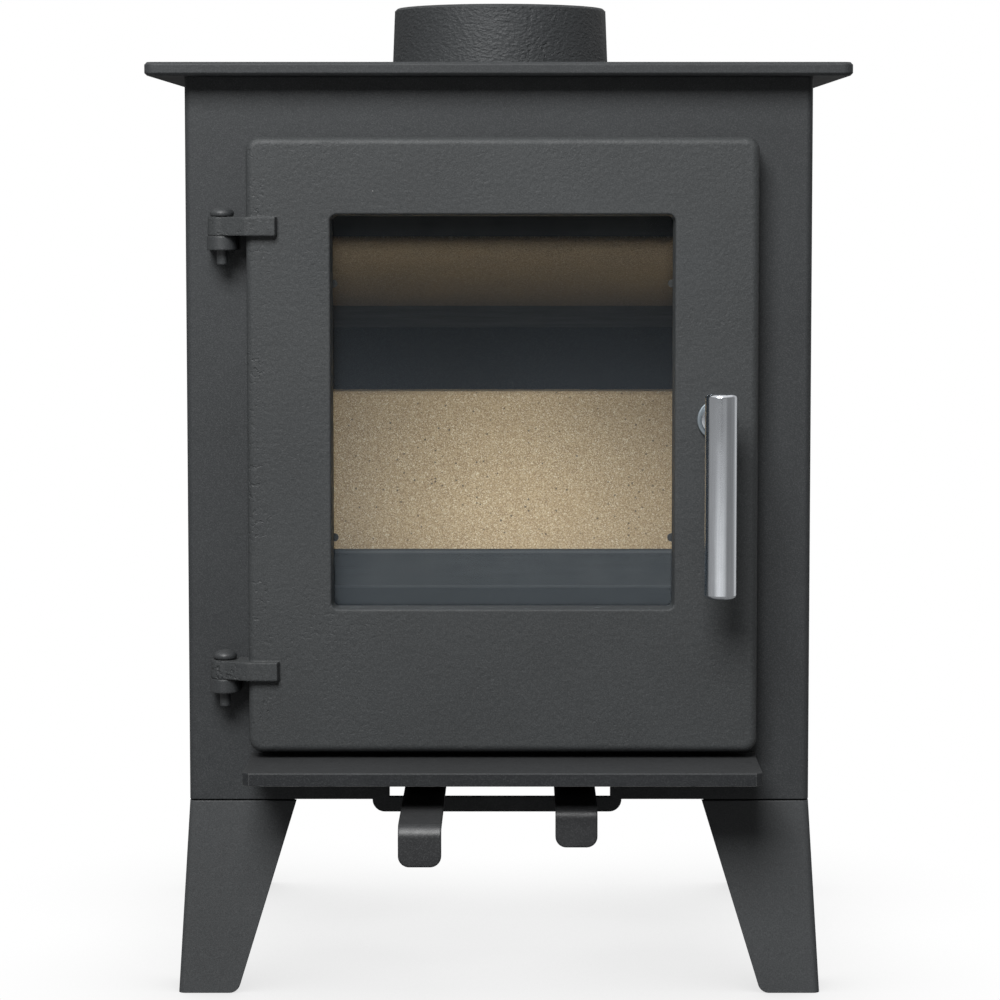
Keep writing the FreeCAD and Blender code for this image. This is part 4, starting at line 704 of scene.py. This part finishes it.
def makeClipScrews(look):
    # heads to the rear, where the clips lie
    low, high, _ = boxOf("clip_screws")
    rings = screwRings(look["clipAcross"], high[1] - look["clipHead"], high[1],
                       look["clipShank"], low[1], look)
    reach = (look["clipAcross"] / math.sqrt(3), look["clipAcross"] / 2)
    makeScrews("clipScrew", "clip_screws", "Y", rings, reach, "door")


def makeCollarScrews(look):
    # countersunk at a right angle, with a hexagon socket
    low, high, _ = boxOf("collar_screws")
    socket = hexRadius(look["socket"], look["columns"])[None, :]
    plain = np.ones_like(socket)
    depth = high[2] - look["socketDepth"]
    radii = np.vstack([plain * 0, plain * look["sunkShank"], plain * look["sunkShank"],
                       plain * look["sunkHead"], socket, socket, plain * 0])
    cone = look["sunkHead"] - look["sunkShank"]
    places = np.array([low[2], low[2], high[2] - cone, high[2], high[2], depth, depth])
    reach = (look["sunkHead"], look["sunkHead"])
    makeScrews("collarScrew", "collar_screws", "Z", (radii, places), reach, "stove")


def makeLatchNut(look):
    # a hexagon chamfered on both faces, round a plain bore
    low, high, middle = boxOf("latch_nut")
    across = high[2] - low[2]
    back, backPlaces = chamfered(across, low[1], high[1], look)
    front, frontPlaces = chamfered(across, high[1], low[1], look)
    bore = np.full((1, look["columns"]), look["nutBore"])
    radii = np.vstack([bore, front[::-1], back, bore])
    places = np.concatenate([low[1:2], frontPlaces[::-1], backPlaces, high[1:2]])
    nut = surface("latchNut", turned(radii, places, "Y", middle[[0, 2]]), screwSteel,
                  closedRows=True)
    settle(nut, "door_handle", "plain_steel", "latch_nut")


makeLegBolts(screwLook)
makeOutletBolt(screwLook)
makeClipScrews(screwLook)
makeCollarScrews(screwLook)
makeLatchNut(screwLook)
print("screws made")


# Rope seal: a tube along its groove, braided from strands that cross over and under

ropeLook = {"width": 0.0075, "corner": 0.014, "cornerSteps": 12, "strands": 3,
            "pitch": 0.0105, "relief": 0.30, "level": 0.8, "crossing": 0.2, "step": 0.0009,
            "columns": 30}


def evenly(path, step):
    # points and unit outward normals at equal steps along a closed path run clockwise
    lengths = np.linalg.norm(np.diff(path, axis=0), axis=1)
    ends = np.concatenate([[0], np.cumsum(lengths)])
    along = np.linspace(0, ends[-1], int(ends[-1] / step), endpoint=False)
    place = np.stack([np.interp(along, ends, path[:, side]) for side in (0, 1)], axis=-1)
    heading = np.roll(place, -1, axis=0) - np.roll(place, 1, axis=0)
    heading /= np.linalg.norm(heading, axis=1, keepdims=True)
    return along, ends[-1], place, np.stack([-heading[:, 1], heading[:, 0]], axis=-1)


def strandHeight(phase):
    # a half-round strand for each whole turn of the phase: the root of one less the square of
    # the distance from its middle, as a share of half its width
    return np.sqrt(1 - (2 * (phase % 1) - 1) ** 2)


def makeRope(look):
    # a tube whose radius swells over two sets of strands, laid left and right handed, where
    # each set rises and sinks by the product of two cosines as it crosses the other
    low, high, middle = boxOf("door_rope_seal")
    inset = look["width"] / 2
    wide, tall = (high - low)[[0, 2]] / 2 - inset
    x, z = middle[0], middle[2]
    loop = softened([(x, z + tall), (x + wide, z + tall), (x + wide, z - tall),
                     (x - wide, z - tall), (x - wide, z + tall), (x, z + tall)],
                    look["corner"] - inset, look["cornerSteps"])
    along, length, place, outward = evenly(loop, look["step"])
    angle = anglesOf(look["columns"])
    turns = along[:, None] / length * round(length / look["pitch"])
    lay = look["strands"] * angle / fullTurn
    over = strandHeight(turns + lay)
    under = strandHeight(turns - lay)
    lift = np.cos(math.pi * (turns + lay)) * np.cos(math.pi * (turns - lay))
    height = np.maximum(over * (look["level"] + look["crossing"] * lift),
                        under * (look["level"] - look["crossing"] * lift))
    swell = 1 - look["relief"] * (1 - height)
    out = inset * swell * np.cos(angle)
    deep = (high[1] - low[1]) / 2 * swell * np.sin(angle)
    points = np.stack([place[:, :1] + outward[:, :1] * out, middle[1] + deep,
                       place[:, 1:] + outward[:, 1:] * out], axis=-1)
    seal = surface("ropeSeal", points, rope, closedRows=True)
    settle(seal, "door", "rope", "door_rope_seal")


makeRope(ropeLook)
print("rope seal made")


# Weld beads where the lip and the hinge lugs meet the sheet. lipStarts are the places where
# the lip's beads start and lipShare is the length of each, as shares of the lip's width.

weldLook = {"radius": 0.0019, "pitch": 0.0022, "scallop": 0.16, "columns": 20, "step": 0.0004,
            "lipStarts": (0.1, 0.42, 0.74), "lipShare": 0.16, "lugInset": 0.002}


def makeBead(name, start, end, look):
    # a ribbed round bead between two points: its radius dips between ribs with the size of a
    # cosine along it, and falls as a square root towards both ends
    start, end = np.array(start), np.array(end)
    length = np.linalg.norm(end - start)
    heading = (end - start) / length
    side = np.cross(heading, (0, 1, 0))
    along = np.arange(0, length, look["step"])
    rib = 1 - look["scallop"] * (1 - abs(np.cos(math.pi * along / look["pitch"])))
    taper = np.clip(np.minimum(along, length - along) / look["radius"], 0, 1) ** 0.5
    radius = (look["radius"] * rib * taper)[:, None, None]
    angle = anglesOf(look["columns"])[:, None]
    ring = np.cos(angle) * side + np.sin(angle) * np.array((0, 1, 0))
    points = start + along[:, None, None] * heading + radius * ring
    settle(surface(name, points, paint), "stove", "body_paint")


def makeWelds(look):
    low, high, _ = boxOf("front_shelf")
    face = high[1]
    width = high[0] - low[0]
    for number, share in enumerate(look["lipStarts"]):
        left = low[0] + share * width
        right = left + look["lipShare"] * width
        makeBead(f"lipWeld{number}", (left, face, low[2]), (right, face, low[2]), look)
    for name in ("upper", "lower"):
        low, high, _ = boxOf("hinge_lug_" + name)
        left, right = low[0] + look["lugInset"], high[0] - look["lugInset"]
        for place, level in (("Top", high[2]), ("Foot", low[2])):
            makeBead(f"lugWeld{name.title()}{place}", (left, face, level), (right, face, level),
                     look)


makeWelds(weldLook)
print("welds made")


# Studio

studio = {
    "floorSize": 2.4, "floorColor": (0.12, 0.12, 0.12), "shadow": 0.72, "shadowReach": 0.16,
    "floorShine": 0.12, "floorRoughness": 0.9, "shadowRange": (0.25, 1.0),
    "ambient": 0.035, "ceiling": 0.9, "ceilingRise": (0.3, 0.7), "eyeFade": (-0.05, -0.13),
}
# How bright the room is in mirrors, by direction: degrees from straight ahead of the stove,
# positive to the viewer's right, then the brightness below and at the level of the eye.
mirrorRoom = [(-180, 0.06, 0.06), (-150, 0.06, 0.06), (-128, 0.16, 0.16), (-105, 0.3, 0.3),
              (-50, 0.5, 0.3), (-25, 0.9, 0.26), (0, 1.0, 0.14), (15, 0.9, 0.24),
              (32, 0.55, 0.3), (42, 0.26, 0.22), (92, 0.27, 0.25), (110, 0.4, 0.4),
              (122, 0.75, 0.7), (134, 0.6, 0.5), (148, 0.3, 0.3), (165, 0.3, 0.3),
              (180, 0.06, 0.06)]
lamps = {
    "key": {"place": (-0.55, -2.3, 2.2), "aim": (0.0, -0.1, 0.42), "width": 1.4,
            "height": 1.35, "power": 102.0},
    "brow": {"place": (-0.1, -0.75, 1.5), "aim": (0.0, -0.2, 0.12), "width": 0.6,
             "height": 0.9, "power": 7.0, "only": ("airwash_slide", "primary_air_slide")},
    "rearLeft": {"place": (-1.3, 2.5, 1.8), "aim": (0.0, 0.1, 0.3), "width": 1.4,
                 "height": 1.4, "power": 50.0, "shine": False},
    "rearRight": {"place": (1.3, 2.5, 1.8), "aim": (0.0, 0.1, 0.3), "width": 1.4,
                  "height": 1.4, "power": 50.0, "shine": False},
    "hearth": {"place": (0.0, -1.5, 0.82), "aim": (0.0, 0.17, 0.3), "width": 1.0,
               "height": 1.0, "power": 44.5,
               "only": ("rear_brick", "side_brick_left", "side_brick_right", "grate",
                        "grate_frame")},
    "vault": {"place": (0.0, -1.5, 0.6), "aim": (0.0, 0.17, 0.4), "width": 0.2,
              "height": 0.12, "power": 42.0, "only": ("baffle_board",)},
}


def makeWorld(look, room):
    # paper white for the eye, dim for diffuse light, and for mirrors a room of bright and dark
    # walls by the direction's angle round the vertical and its slope, under a bright ceiling
    world = bpy.data.worlds.new("studioWorld")
    bpy.context.scene.world = world
    world.use_nodes = True
    tree = world.node_tree
    tree.nodes.clear()
    rays = addNode(tree, "LightPath").outputs
    seen = mathOf(tree, "MAXIMUM", rays["Is Camera Ray"], rays["Is Transmission Ray"])
    direction = addNode(tree, "TexCoord").outputs["Generated"]
    parts = addNode(tree, "SeparateXYZ", {0: direction}).outputs
    angle = mathOf(tree, "ARCTAN2", parts["X"], mathOf(tree, "MULTIPLY", parts["Y"], -1.0))
    turn = ramp(tree, angle, -math.pi, math.pi)
    walls = addNode(tree, "ValToRGB", {"Fac": turn})
    stops = walls.color_ramp.elements
    for degrees, _, _ in room[1:-1]:
        stops.new((degrees + 180) / 360)
    for stop, (_, below, level) in zip(stops, room):
        stop.color = (below, level, 0, 1)
    both = addNode(tree, "SeparateColor", {0: walls.outputs["Color"]}).outputs
    belowEye = ramp(tree, parts["Z"], *look["eyeFade"])
    wall = addNode(tree, "Mix", {0: belowEye, 2: both[1], 3: both[0]}).outputs[0]
    ceiling = ramp(tree, parts["Z"], *look["ceilingRise"], 0.0, look["ceiling"])
    gloss = mathOf(tree, "MAXIMUM", wall, ceiling)
    gloss = mathOf(tree, "MULTIPLY", gloss, rays["Is Glossy Ray"])
    diffuse = mathOf(tree, "MULTIPLY", rays["Is Diffuse Ray"], look["ambient"])
    strength = mathOf(tree, "ADD", seen, mathOf(tree, "ADD", gloss, diffuse))
    white = addNode(tree, "Background", {"Color": (1, 1, 1, 1), "Strength": strength}).outputs[0]
    output = addNode(tree, "OutputWorld")
    tree.links.new(white, output.inputs["Surface"])


def makeFloor(look):
    # a white sheet that the camera sees as paper white but for the stove's soft shadow
    half = look["floorSize"] / 2
    mesh = bpy.data.meshes.new("floor")
    corners = [(-half, -half, 0), (half, -half, 0), (half, half, 0), (-half, half, 0)]
    mesh.from_pydata(corners, [], [(0, 1, 2, 3)])
    floor = bpy.data.objects.new("floor", mesh)
    bpy.context.scene.collection.objects.link(floor)
    material, tree, _, shader = newMaterial("floorPaper")
    shader.inputs["Base Color"].default_value = (*look["floorColor"], 1)
    shader.inputs["Roughness"].default_value = look["floorRoughness"]
    shade = addNode(tree, "AmbientOcclusion", {"Distance": look["shadowReach"]}, samples=8)
    level = ramp(tree, shade.outputs["AO"], *look["shadowRange"], look["shadow"], 1.0)
    paper = addNode(tree, "Emission", {"Color": (1, 1, 1, 1), "Strength": level}).outputs[0]
    rays = addNode(tree, "LightPath").outputs
    mirrored = mathOf(tree, "MULTIPLY", rays["Is Glossy Ray"], look["floorShine"])
    seen = mathOf(tree, "MAXIMUM", rays["Is Camera Ray"], mirrored)
    both = addNode(tree, "MixShader", {0: seen, 1: shader.outputs[0], 2: paper})
    showSurface(tree, both.outputs[0])
    mesh.materials.append(material)


def makeLamps(look):
    # soft rectangular lamps, each turned to its aim; some light only a few pieces, and the rear
    # ones leave no shine
    for name, lamp in look.items():
        data = bpy.data.lights.new(name + "Lamp", "AREA")
        data.shape = "RECTANGLE"
        data.size = lamp["width"]
        data.size_y = lamp["height"]
        data.energy = lamp["power"]
        light = bpy.data.objects.new(name + "Lamp", data)
        bpy.context.scene.collection.objects.link(light)
        away = np.array(lamp["place"]) - np.array(lamp["aim"])
        tilt = math.atan2(math.hypot(away[0], away[1]), away[2])
        turn = math.atan2(away[0], -away[1])
        light.location = lamp["place"]
        light.rotation_euler = (tilt, 0.0, turn)
        light.visible_glossy = lamp.get("shine", True)
        if "only" in lamp:
            lit = bpy.data.collections.new(name + "Lit")
            for node in lamp["only"]:
                lit.objects.link(nodes[node])
            light.light_linking.receiver_collection = lit


def makeCamera(look):
    # camera in front of the stove, a little below its top plate, looking slightly down
    data = bpy.data.cameras.new("camera")
    data.sensor_width = look["sensor"]
    data.lens = look["lens"]
    data.shift_x = look["shiftX"]
    data.shift_y = look["shiftY"]
    data.clip_end = look["farthest"]
    camera = bpy.data.objects.new("camera", data)
    bpy.context.scene.collection.objects.link(camera)
    camera.location = look["place"]
    camera.rotation_euler = (math.radians(90 - look["tilt"]), 0.0, 0.0)
    bpy.context.scene.camera = camera


view = {"place": (0.0103, -2.0297, 0.4893), "tilt": 4.498, "lens": 115.26, "sensor": 36.0,
        "shiftX": -0.016, "shiftY": -0.06, "farthest": 50.0}

makeWorld(studio, mirrorRoom)
makeFloor(studio)
makeLamps(lamps)
makeCamera(view)
bpy.context.scene.view_settings.view_transform = "Standard"
print("studio set up")
